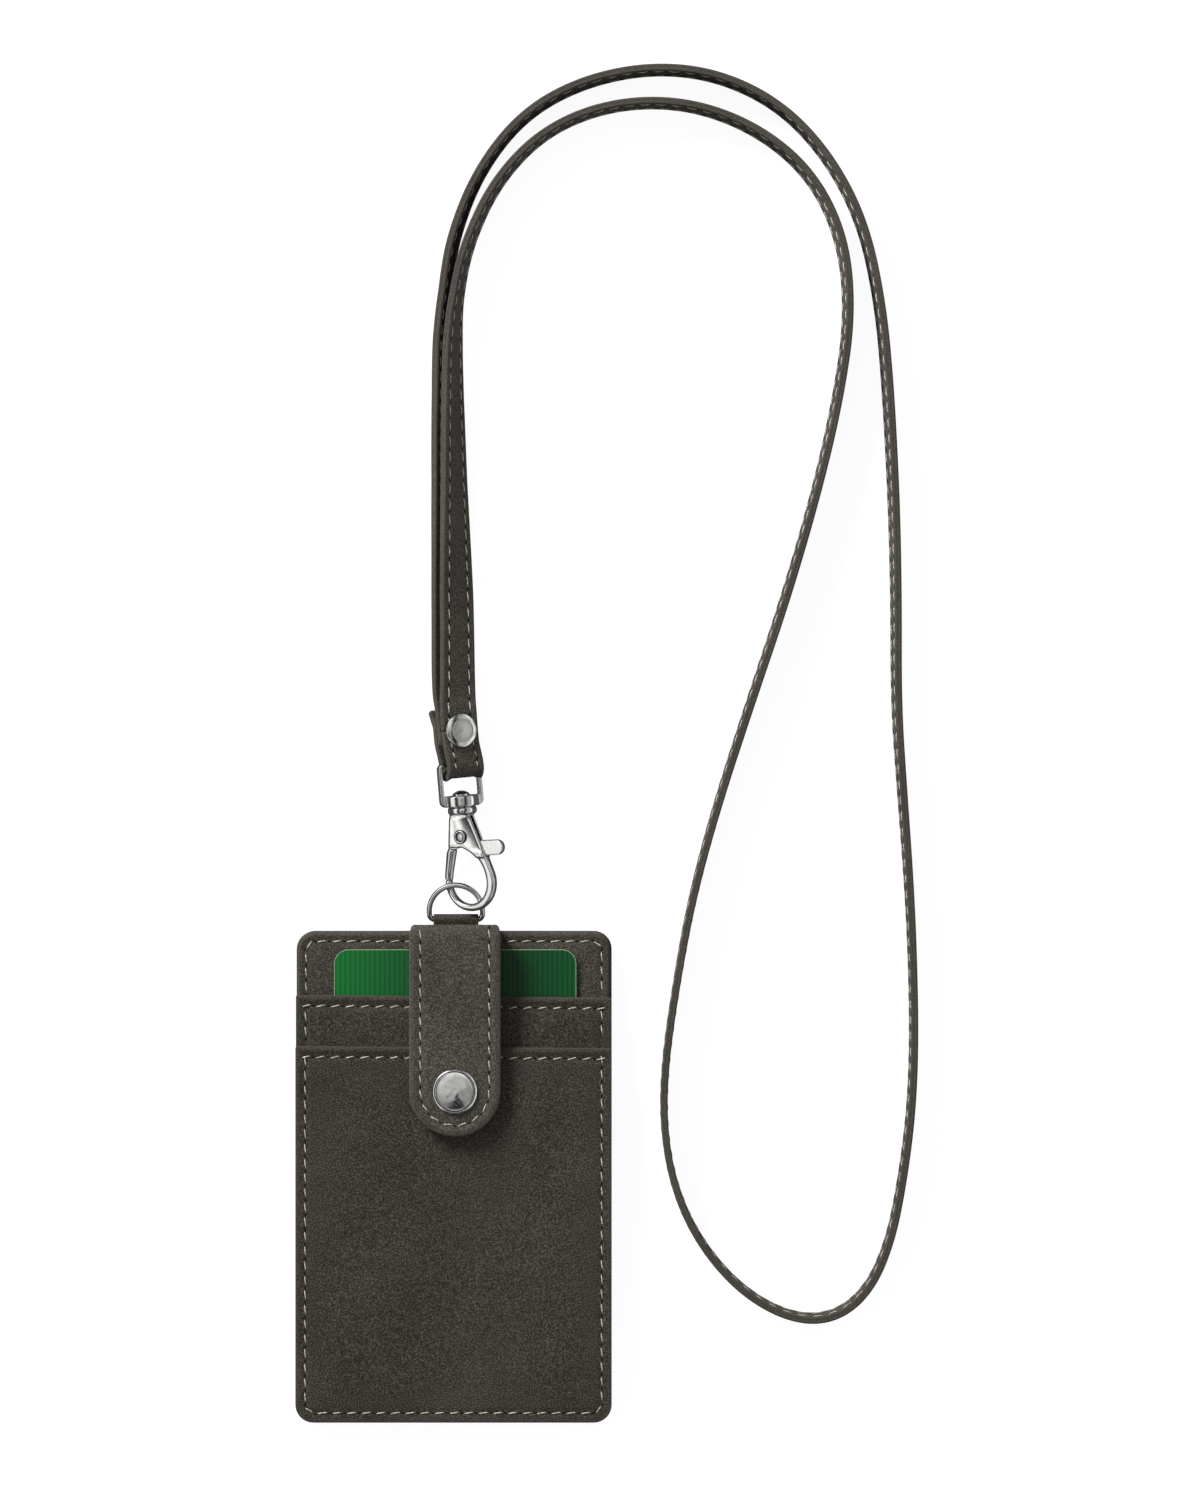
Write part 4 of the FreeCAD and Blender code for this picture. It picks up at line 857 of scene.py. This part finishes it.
def make_ring_loop():
    """The leather loop that holds the ring: a thin strap section carried from its sewn tail round the
    ring's bar and back."""
    eye = arc(RING_BAR, RING_EYE, -90.0, 90.0, 11)
    place, apart = RING_TAILS.T
    below, above = (np.column_stack([place, RING_BAR[1] + side * apart]) for side in (-1.0, 1.0))
    line, normals = bent_line(np.concatenate([below, eye, above[::-1]]), 50)
    centres = np.column_stack([np.full(len(line), FLAP_CENTRE), line])
    widths = np.broadcast_to((1.0, 0.0, 0.0), centres.shape)
    profile, raw = strap_section(RING_LOOP_WIDTH, RING_LOOP_THICKNESS, 0.0)
    points = carried(centres, widths, normals, profile)
    loop = make_piece("ring_loop_leather", points, COVER_LEATHER, raw, ends="capped")
    stand_in(loop, "wallet", "ring_loop")


make_ring_loop()


def stitch_places(line, normals, pitch):
    """Start, end and face direction of each stitch along a line of points: whole steps from end to end,
    as near the pitch as they come, with a gap between stitches."""
    run = distances(line)
    count = int(round(run[-1] / pitch))
    step = run[-1] / count
    first = np.arange(count) * step
    start = along_line(line, first + 0.5 * STITCH_GAP)
    finish = along_line(line, first + step - 0.5 * STITCH_GAP)
    middle = first + 0.5 * step
    normal = np.stack([np.interp(middle, run, normals[:, axis]) for axis in range(3)], axis=-1)
    return start, finish, unit(normal)


def repeated(faces, count, step):
    """Faces of a small shape, numbered on for each of its copies."""
    base = step * np.arange(count)[:, None, None]
    return (np.array(faces)[None] + base).reshape(-1, len(faces[0])).tolist()


def full_circle(count):
    """Angles of evenly spaced points on a circle."""
    return np.linspace(0.0, 2.0 * np.pi, count, endpoint=False)


def make_stitches(name, rows, body, slant):
    """Thread and needle holes of one or more stitch rows. A stitch is a small tube from hole to hole that
    rises out of the leather and lies a little askew. A hole is painted shade: a dark, very low oval lens
    between a stitch and the next, a ring of points, and one point above and one below its middle."""
    start, finish, normal = (np.concatenate(part) for part in zip(*rows))
    count, rings, sides, rim = len(start), 5, 6, 8
    along = finish - start
    across = unit(np.cross(normal, along))
    share = np.linspace(0.0, 1.0, rings)[None, :, None]
    rise = THREAD_RISE * np.sin(np.pi * share) ** 0.7 - THREAD_SINK
    middle = (start[:, None] + along[:, None] * share + normal[:, None] * rise
              + across[:, None] * slant * (share - 0.5))
    radius = THREAD_RADIUS * (1.0 - 0.45 * np.abs(2.0 * share - 1.0) ** 3)
    angle = full_circle(sides)[None, None, :, None]
    tubes = (middle[:, :, None] + radius[..., None]
             * (np.cos(angle) * across[:, None, None] + np.sin(angle) * normal[:, None, None]))
    *walls, first, last = grid_faces(rings, sides, ends="capped")
    faces = repeated(walls, count, rings * sides) + repeated([first, last], count, rings * sides)
    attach(make_piece(name + "_thread", tubes, THREAD, faces=faces), body)
    # Needle holes: dark lenses of painted shade.
    facing = unit(along)
    middle = (finish + 0.5 * STITCH_GAP * facing)[:, None]
    angle = full_circle(rim)[None, :, None]
    ring = (middle + HOLE_LENGTH * np.cos(angle) * facing[:, None] + HOLE_RIM * normal[:, None]
            + HOLE_WIDTH * np.sin(angle) * across[:, None])
    poles = middle + normal[:, None] * HOLE_MIDDLES[None, :, None]
    lenses = np.concatenate([ring, poles], axis=1)
    fans = [(spot, (spot + 1) % rim, pole) for pole in (rim, rim + 1) for spot in range(rim)]
    faces = repeated(fans, count, rim + 2)
    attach(make_piece(name + "_holes", lenses, NEEDLE_HOLE, faces=faces), body)


def flat_row(line, height):
    """A stitch row on a level face, from a line in x and y."""
    places = np.column_stack([line, np.broadcast_to(height, len(line))])
    return stitch_places(places, np.broadcast_to(UP, places.shape), STITCH_PITCH)


def outline_row(height):
    """Stitch row round the wallet at a height."""
    outline = drawn_in(WALLET_LOW, WALLET_HIGH, WALLET_RADII, STITCH_INSET)
    return flat_row(np.concatenate([outline, outline[:1]]), height)


def perimeter_row():
    """Stitch row round the wallet's front, on the face of whichever layer is on top there, without the
    stitches that would cross a pocket's top edge."""
    row = outline_row(0.0)
    middle = 0.5 * (row[0] + row[1])[:, 1]
    clear = ((np.abs(middle - FRONT_POCKET_TOP) > POCKET_EDGE_ROOM)
             & (np.abs(middle - UPPER_POCKET_TOP) > POCKET_EDGE_ROOM))
    face = np.where(middle < FRONT_POCKET_TOP, FRONT_POCKET[1],
                    np.where(middle < UPPER_POCKET_TOP, UPPER_POCKET[1], LINED_BOARD[1])) - SEAM_DEPTH
    start, finish, normal = (part[clear] for part in row)
    lifted = UP * face[clear, None]
    return start + lifted, finish + lifted, normal


def pocket_row(top, height, slope):
    """Stitch row across a pocket, just under its top edge."""
    reach = WALLET_HIGH[0] - 0.6
    level = top - POCKET_STITCH_DROP
    line = np.array([(-reach, level + slope * reach), (reach, level - slope * reach)])
    return flat_row(line, height - SEAM_DEPTH)


def flap_row():
    """Stitch row round the flap: down one side, round the end and up the other."""
    half = FLAP_HALF_WIDTH - FLAP_STITCH_INSET
    centre = FLAP_TIP + FLAP_HALF_WIDTH
    side = np.linspace(FLAP_BACK + 0.1, centre + 2.0, 60)
    down, up = (np.column_stack([np.full(60, edge), side]) for edge in (-half, half))
    line = np.concatenate([down, arc((0.0, centre), half, 180.0, 360.0, 33), up[::-1]])
    past_fold = np.maximum(line[:, 1] - FLAP_BACK + FLAP_FOLD, 0.0)
    outer = FLAP_FOLD + 0.5 * FLAP_THICKNESS
    height = FLAP_MIDDLE - FLAP_FOLD + np.sqrt(outer ** 2 - past_fold ** 2) - SEAM_DEPTH
    return flat_row(line + np.array((FLAP_CENTRE, 0.0)), height)


def back_row():
    """Stitch row round the back cover, facing down."""
    start, finish, normal = outline_row(SEAM_DEPTH)
    return start, finish, -normal


def strap_rows():
    """Four stitch rows of the strap: near each edge on both of its faces."""
    return [stitch_places(strap_row(strap_line, strap_width, strap_normal, edge, face), face * strap_normal,
                          STRAP_PITCH) for face in (1.0, -1.0) for edge in (1.0, -1.0)]


make_stitches("wallet_seam", [perimeter_row(), back_row()], "wallet", slant=0.3)
make_stitches("pocket_seam", [pocket_row(UPPER_POCKET_TOP, UPPER_POCKET[1], UPPER_POCKET_SLOPE),
                              pocket_row(FRONT_POCKET_TOP, FRONT_POCKET[1], FRONT_POCKET_SLOPE)],
              "wallet", slant=0.5)
make_stitches("flap_seam", [flap_row()], "flap", slant=0.35)
make_stitches("strap_seam", strap_rows(), "lanyard", slant=0.25)
strap_fold = make_strap_fold()

# Hook's body in its own frame: the neck, half its breadth there to the left and right and what each side
# gains per millimetre below it, the crown of the cheeks and its fall, and where along and out they begin
# and end.
NECK = 21.4
NECK_LEFT, NECK_RIGHT = -2.6, 2.1
LEFT_SPREAD, RIGHT_SPREAD = 1.0 / 7.8, 0.355
CHEEK_CROWN = 0.35
CHEEK_FALL = 0.95
CHEEK_FOOT = (11.4, 13.6)
CHEEK_TOP = (19.8, 21.2)
SLOT_WALL = (0.8, 1.35)
# Bar of the trigger: its upper end, its axis across there and how far that leans per millimetre below it,
# how much fuller it is, its shift and the growth of its point, and where along the fuller part and the point
# begin and are full, counted downwards.
BAR_TOP = 13.3
BAR_AXIS = -3.45
BAR_LEAN = 1.55 / 6.45
BAR_FULLER = 0.14
BAR_SHIFT = 0.12
POINT_GROWTH = 0.4
BAR_BEGINS = (-13.4, -12.4)
POINT_BEGINS = (-8.2, -6.8)
HOOK_TURN = turned(CLASP_LEAN, 0, 1) @ turned(CLASP_RISE, 1, 2) @ turned(HOOK_ROLL, 2, 0)


def rise_between(value, low, high):
    """Smooth rise from 0 at the low bound to 1 at the high one, level at both."""
    share = np.clip((value - low) / (high - low), 0.0, 1.0)
    return share * share * (3.0 - 2.0 * share)


def crowned_cheeks(local):
    """Rounds the two cheeks of the hook's body: each stands out at its left edge and falls by a parabola
    across the body's breadth, which is widest low down, to a round shoulder at its right edge, and the slot
    between the cheeks keeps its walls."""
    across, along, out = local.T
    left = NECK_LEFT - (NECK - along) * LEFT_SPREAD
    right = NECK_RIGHT + (NECK - along) * RIGHT_SPREAD
    share = np.clip((across - left) / (right - left), 0.0, 1.0)
    crown = (CHEEK_CROWN - CHEEK_FALL * share ** 2) * rise_between(along, *CHEEK_FOOT)
    crown = crown * (1.0 - rise_between(along, *CHEEK_TOP))
    local[:, 2] += np.sign(out) * crown * rise_between(np.abs(out), *SLOT_WALL)
    return local


def full_bar(local):
    """Fills out the bar of the trigger: below its head it grows about its own axis, and its last millimetre
    is drawn out to the hook's point."""
    along = local[:, 1]
    axis = BAR_AXIS - BAR_LEAN * (BAR_TOP - along)
    fuller = rise_between(-along, *BAR_BEGINS) * (local[:, 0] < 0.0)
    local[:, 0] += fuller * (BAR_FULLER * (local[:, 0] - axis) - BAR_SHIFT)
    local[:, 2] += fuller * BAR_FULLER * local[:, 2]
    local[:, 1] -= POINT_GROWTH * rise_between(-along, *POINT_BEGINS)
    return local


def cast_piece(name, node, body, finish, grain, rounds, swell, reshape=None):
    """A cast and tumbled piece of the clasp: the solid's own surface drawn again in even small quads, eased
    so that every edge is worn round, then swollen by what the easing took off. A reshape moves its points
    in the hook's own frame."""
    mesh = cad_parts[node].data.copy()
    clean_mesh(mesh, 0.001 * MM, False)
    rough = add_object(name + "_rough", mesh)
    even = rough.modifiers.new("even", "REMESH")
    even.mode = "VOXEL"
    even.voxel_size = grain * MM
    ease = rough.modifiers.new("ease", "SMOOTH")
    ease.factor = 0.5
    ease.iterations = rounds
    grow = rough.modifiers.new("grow", "DISPLACE")
    grow.mid_level = 0.0
    grow.strength = swell * MM
    final = bpy.data.meshes.new_from_object(rough.evaluated_get(bpy.context.evaluated_depsgraph_get()))
    bpy.data.objects.remove(rough)
    final.name = name
    if reshape:
        local = reshape((mesh_points(final) / MM - CLASP_ORIGIN) @ HOOK_TURN)
        final.vertices.foreach_set("co", ((CLASP_ORIGIN + local @ HOOK_TURN.T) * MM).ravel())
    stand_in(show_mesh(name, final, finish), body, node)


cast_piece("hook_casting", "hook_body", "hook", CHROMED_ZINC,
           grain=0.09, rounds=56, swell=0.075, reshape=crowned_cheeks)
cast_piece("trigger_casting", "gate_lever", "gate", CHROMED_ZINC,
           grain=0.075, rounds=30, swell=0.063, reshape=full_bar)
cast_piece("bail_casting", "clasp_bail", "bail", CHROMED_STEEL,
           grain=0.08, rounds=38, swell=0.062)


def turned_piece(name, node, body, profile, place, frame_turn, finish, dent=None):
    """A piece turned on a lathe, in place of its solid: a profile of radius, height and share of painted
    shade in crevices, from its foot to its middle, swept round the third axis of a frame. A dent, if any,
    lowers it by a depth for each place."""
    radius, height, painted_crevice_shade = eased(profile).T[..., None]
    angle = full_circle(72)
    x, y = radius * np.cos(angle), radius * np.sin(angle)
    z = height - (dent(x, y) if dent else 0.0 * x)
    points = np.asarray(place) + np.stack([x, y, z], axis=-1) @ frame_turn.T
    return stand_in(make_piece(name, points, finish, painted_crevice_shade), body, node)


def eased(corners):
    """A smooth profile through a broken one: each corner is cut three times, a quarter from each end."""
    line = np.array(corners, dtype=float)
    for _ in range(3):
        cut = np.stack([0.75 * line[:-1] + 0.25 * line[1:], 0.25 * line[:-1] + 0.75 * line[1:]], axis=1)
        line = np.concatenate([line[:1], cut.reshape(-1, 3), line[-1:]])
    return line


# Hollows in the snap's cap: place across and along, breadth and depth.
CAP_HOLLOWS = (
    (-1.7, 0.6, 1.0, 0.06), (1.1, 1.7, 1.1, 0.05), (-1.0, -1.0, 0.9, 0.045), (2.3, -0.5, 1.1, 0.045),
    (-0.2, 0.2, 0.7, 0.03),
)


def cap_dents(x, y):
    """Shallow marks of pressing and handling on the snap's cap: five soft hollows, each a round bell."""
    return sum(deep * np.exp(-((x - side) ** 2 + (y - along) ** 2) / wide ** 2)
               for side, along, wide, deep in CAP_HOLLOWS)


# Profiles of the snap's cap, the rivet's cap and the trigger's pin: radius, height and share of painted
# shade in crevices.
SNAP_PROFILE = (
    (0.0, -0.2, 0), (4.7, -0.2, 0), (4.98, 0.1, 0), (5.0, 0.42, 0), (4.94, 0.56, 0), (4.66, 0.78, 0),
    (4.56, 0.8, 0), (4.48, 0.68, 1), (4.4, 0.68, 1), (4.3, 0.84, 0), (3.6, 0.95, 0), (2.4, 1.07, 0),
    (1.0, 1.15, 0), (0.0, 1.16, 0),
)
RIVET_PROFILE = (
    (0.0, -0.15, 0), (3.4, -0.15, 0), (3.78, 0.05, 0), (3.8, 0.3, 0), (3.74, 0.58, 0), (3.5, 0.76, 0),
    (3.05, 0.92, 0), (2.65, 1.03, 0), (2.5, 1.05, 0.3), (2.4, 1.03, 0.3), (1.2, 1.07, 0), (0.0, 1.1, 0),
)
PIN_PROFILE = (
    (0.0, -3.9, 0), (1.3, -3.9, 0), (1.5, -3.8, 0), (1.5, -3.6, 0), (0.8, -3.5, 0), (0.8, -0.3, 0),
    (1.6, -0.3, 1), (1.64, 0.06, 1), (1.52, 0.12, 1), (1.44, 0.24, 0), (1.26, 0.32, 0), (1.08, 0.26, 0),
    (1.0, 0.02, 1), (0.88, 0.0, 1), (0.8, 0.08, 0.3), (0.3, 0.12, 0.3), (0.0, 0.12, 0.3),
)
SNAP_PLACE = (0.4, 19.4, FLAP_MIDDLE + 0.5 * FLAP_THICKNESS)
RIVET_OUT = LAYER_STEP + 0.5 * STRAP_THICKNESS
PIN_PLACE = (0.0, 16.0, 1.9)

turned_piece("snap_cap_pressing", "snap_cap", "flap", SNAP_PROFILE, SNAP_PLACE, np.eye(3),
             CHROMED_BRASS, cap_dents)
rivet_cap = turned_piece("strap_rivet_cap", "rivet_cap", "lanyard", RIVET_PROFILE,
                         in_bail((0.0, RIVET_PLACE, RIVET_OUT)), BAIL_TURN, CHROMED_BRASS)
turned_piece("trigger_pin", "gate_pin", "hook", PIN_PROFILE, CLASP_ORIGIN + HOOK_TURN @ PIN_PLACE, HOOK_TURN,
             CHROMED_STEEL)

# Solids of the part that are shown as they are, each in its finish.
SHOWN_NODES = {
    "card": PRINTED_CARD, "d_ring": CHROMED_STEEL, "swivel_rivet": CHROMED_STEEL,
    "gate_spring": SPRING_STEEL, "snap_socket": CHROMED_BRASS, "snap_stud": CHROMED_BRASS,
    "stud_eyelet": CHROMED_BRASS, "rivet_post": CHROMED_BRASS,
}
for node, finish in SHOWN_NODES.items():
    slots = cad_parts[node].data.materials
    slots.clear()
    slots.append(finish)


# Surround: tones from the right horizon at 0 over the zenith at 0.5 to the left horizon at 1. The first is
# also the tone of everything below the horizon.
SURROUND = (
    (0.0, "#565656"), (0.02, "#ffffff"), (0.1, "#ffffff"), (0.14, "#b0b0b0"), (0.26, "#b0b0b0"),
    (0.32, "#343434"), (0.37, "#3c3c3c"), (0.42, "#d8d8d8"), (0.58, "#d8d8d8"), (0.64, "#4e4e4e"),
    (0.71, "#424242"), (0.77, "#ffffff"), (0.89, "#ffffff"), (0.94, "#303030"),
)
SURROUND_STRENGTH = 1.1
FLAG_TONE = "#1c1c1c"
KEY_WAY = (-0.556, 0.709, 0.435)
KEY_TONE = (2.0, 2.0, 2.0, 1.0)
# Soft boxes: place and the point that each faces, in metres, its size and its power.
SOFT_BOXES = {
    "key_box": ((-0.66, 0.94, 0.54), (0.03, 0.06, 0.0), 0.4, 28.5),
    "right_fill": ((1.3, 0.1, 0.16), (0.03, 0.1, 0.0), 0.6, 5.0),
    "front_fill": ((0.05, -1.2, 0.14), (0.03, 0.1, 0.0), 0.6, 4.0),
}


def make_floor():
    """A wide level floor of white paper just under the object. It glows white to the camera, and neither
    lights the leather nor shows in the bright metal."""
    reach, level = 4.0, -0.05 * MM
    corners = [(-reach, -reach, level), (reach, -reach, level), (reach, reach, level), (-reach, reach, level)]
    mesh = bpy.data.meshes.new("studio_floor")
    mesh.from_pydata(corners, [], [(0, 1, 2, 3)])
    finish, tree, _ = new_finish("white_paper_sweep")
    end_finish(tree, Base_Color=linear("#707070"), Roughness=0.9, Specular_IOR_Level=0.0,
               Emission_Color=linear("#ffffff"), Emission_Strength=0.93)
    mesh.materials.append(finish)
    floor = add_object("studio_floor", mesh)
    floor.visible_diffuse = False
    floor.visible_glossy = False


def make_world():
    """Soft studio surround of long panels beside and above the object, as the bright metal mirrors it: from
    the right, a low bright panel, a dull one, a dark gap, the broad overhead panel, another dark gap, a
    bright panel at the left and a dark wall. The light is uneven in soft blotches and fades to the far and
    near walls, and the overhead panel also falls off towards the near side. A dark flag, a fan that opens
    towards the near side, stands almost overhead, and a soft bright panel stands where the key box is."""
    world = bpy.data.worlds.new("studio")
    bpy.context.scene.world = world
    world.use_nodes = True
    tree = world.node_tree
    tree.nodes.clear()
    way = add_node(tree, "ShaderNodeTexCoord").outputs["Generated"]
    x, y, z = add_node(tree, "ShaderNodeSeparateXYZ", {"Vector": way}).outputs
    share = reckoned(tree, "DIVIDE", reckoned(tree, "ARCTAN2", z, x), np.pi)
    panels = ramp(tree, share, *SURROUND)
    ratio = reckoned(tree, "DIVIDE", x, y)
    aside, breadth, depth = (reckoned(tree, "ABSOLUTE", value) for value in (ratio, x, y))
    to_key = add_node(tree, "ShaderNodeVectorMath", {0: way, 1: KEY_WAY},
                      operation="DISTANCE").outputs["Value"]
    # Soft steps: what each reads, between which two values it changes, and from what to what.
    soft_steps = {
        "uneven": (noise(tree, way, 4.5), 0.38, 0.6, 0.6, 1.3),
        "walls": (depth, 0.75, 0.92, 1.0, 0.25),
        "near_side": (y, -0.3, 0.3, 0.5, 1.15),
        "beside": (breadth, 0.3, 0.6, 0.0, 1.0),
        "flag_sides": (aside, 0.36, 0.5, 1.0, 0.0),
        "flag_tip": (y, -0.1, -0.06, 1.0, 0.0),
        "flag_foot": (y, -0.42, -0.36, 0.0, 1.0),
        "key_panel": (to_key, 0.2, 0.42, 1.0, 0.0),
    }
    soft = {name: mapped(tree, *values, interpolation_type="SMOOTHSTEP")
            for name, values in soft_steps.items()}
    level = add_node(tree, "ShaderNodeMix", {0: soft["beside"], 2: soft["near_side"], 3: 1.0},
                     data_type="FLOAT").outputs[0]
    dimmed, flag = soft["uneven"], soft["flag_tip"]
    for factor in (soft["walls"], level):
        dimmed = reckoned(tree, "MULTIPLY", dimmed, factor)
    for factor in (soft["flag_foot"], soft["flag_sides"]):
        flag = reckoned(tree, "MULTIPLY", flag, factor)
    light = mixed(tree, 1.0, panels, dimmed, blend_type="MULTIPLY")
    for amount, tone in ((flag, linear(FLAG_TONE)), (soft["key_panel"], KEY_TONE)):
        light = mixed(tree, amount, light, tone)
    back = add_node(tree, "ShaderNodeBackground", {"Color": light, "Strength": SURROUND_STRENGTH})
    add_node(tree, "ShaderNodeOutputWorld", {"Surface": back.outputs[0]})


def make_light(name, place, aim, size, power):
    """A square soft box at a place, turned to face a point. It lights the leather and stays out of the bright
    metal, which mirrors the surround alone."""
    lamp = bpy.data.lights.new(name, "AREA")
    lamp.size = size
    lamp.energy = power
    light = add_object(name, lamp)
    light.location = place
    way = np.array(aim) - np.array(place)
    flat = np.hypot(way[0], way[1])
    light.rotation_euler = (np.arctan2(flat, -way[2]), 0.0, np.arctan2(way[0], -way[1]) + np.pi)
    light.visible_glossy = False


def make_camera():
    """The photograph's camera: straight above, its view as high as the photograph's frame on the object."""
    lens = bpy.data.cameras.new("photograph")
    lens.sensor_fit = "VERTICAL"
    lens.lens_unit = "FOV"
    lens.angle = 2.0 * np.arctan2(0.5 * VIEW_HEIGHT, CAMERA_DISTANCE)
    lens.clip_start = 0.01
    lens.clip_end = 20.0
    camera = add_object("photograph", lens)
    x, y, z = VIEW_CENTRE
    camera.location = (x * MM, y * MM, (z + CAMERA_DISTANCE) * MM)
    bpy.context.scene.camera = camera


make_floor()
make_world()
for name, settings in SOFT_BOXES.items():
    make_light(name, *settings)
make_camera()
bpy.context.scene.view_settings.view_transform = "Standard"
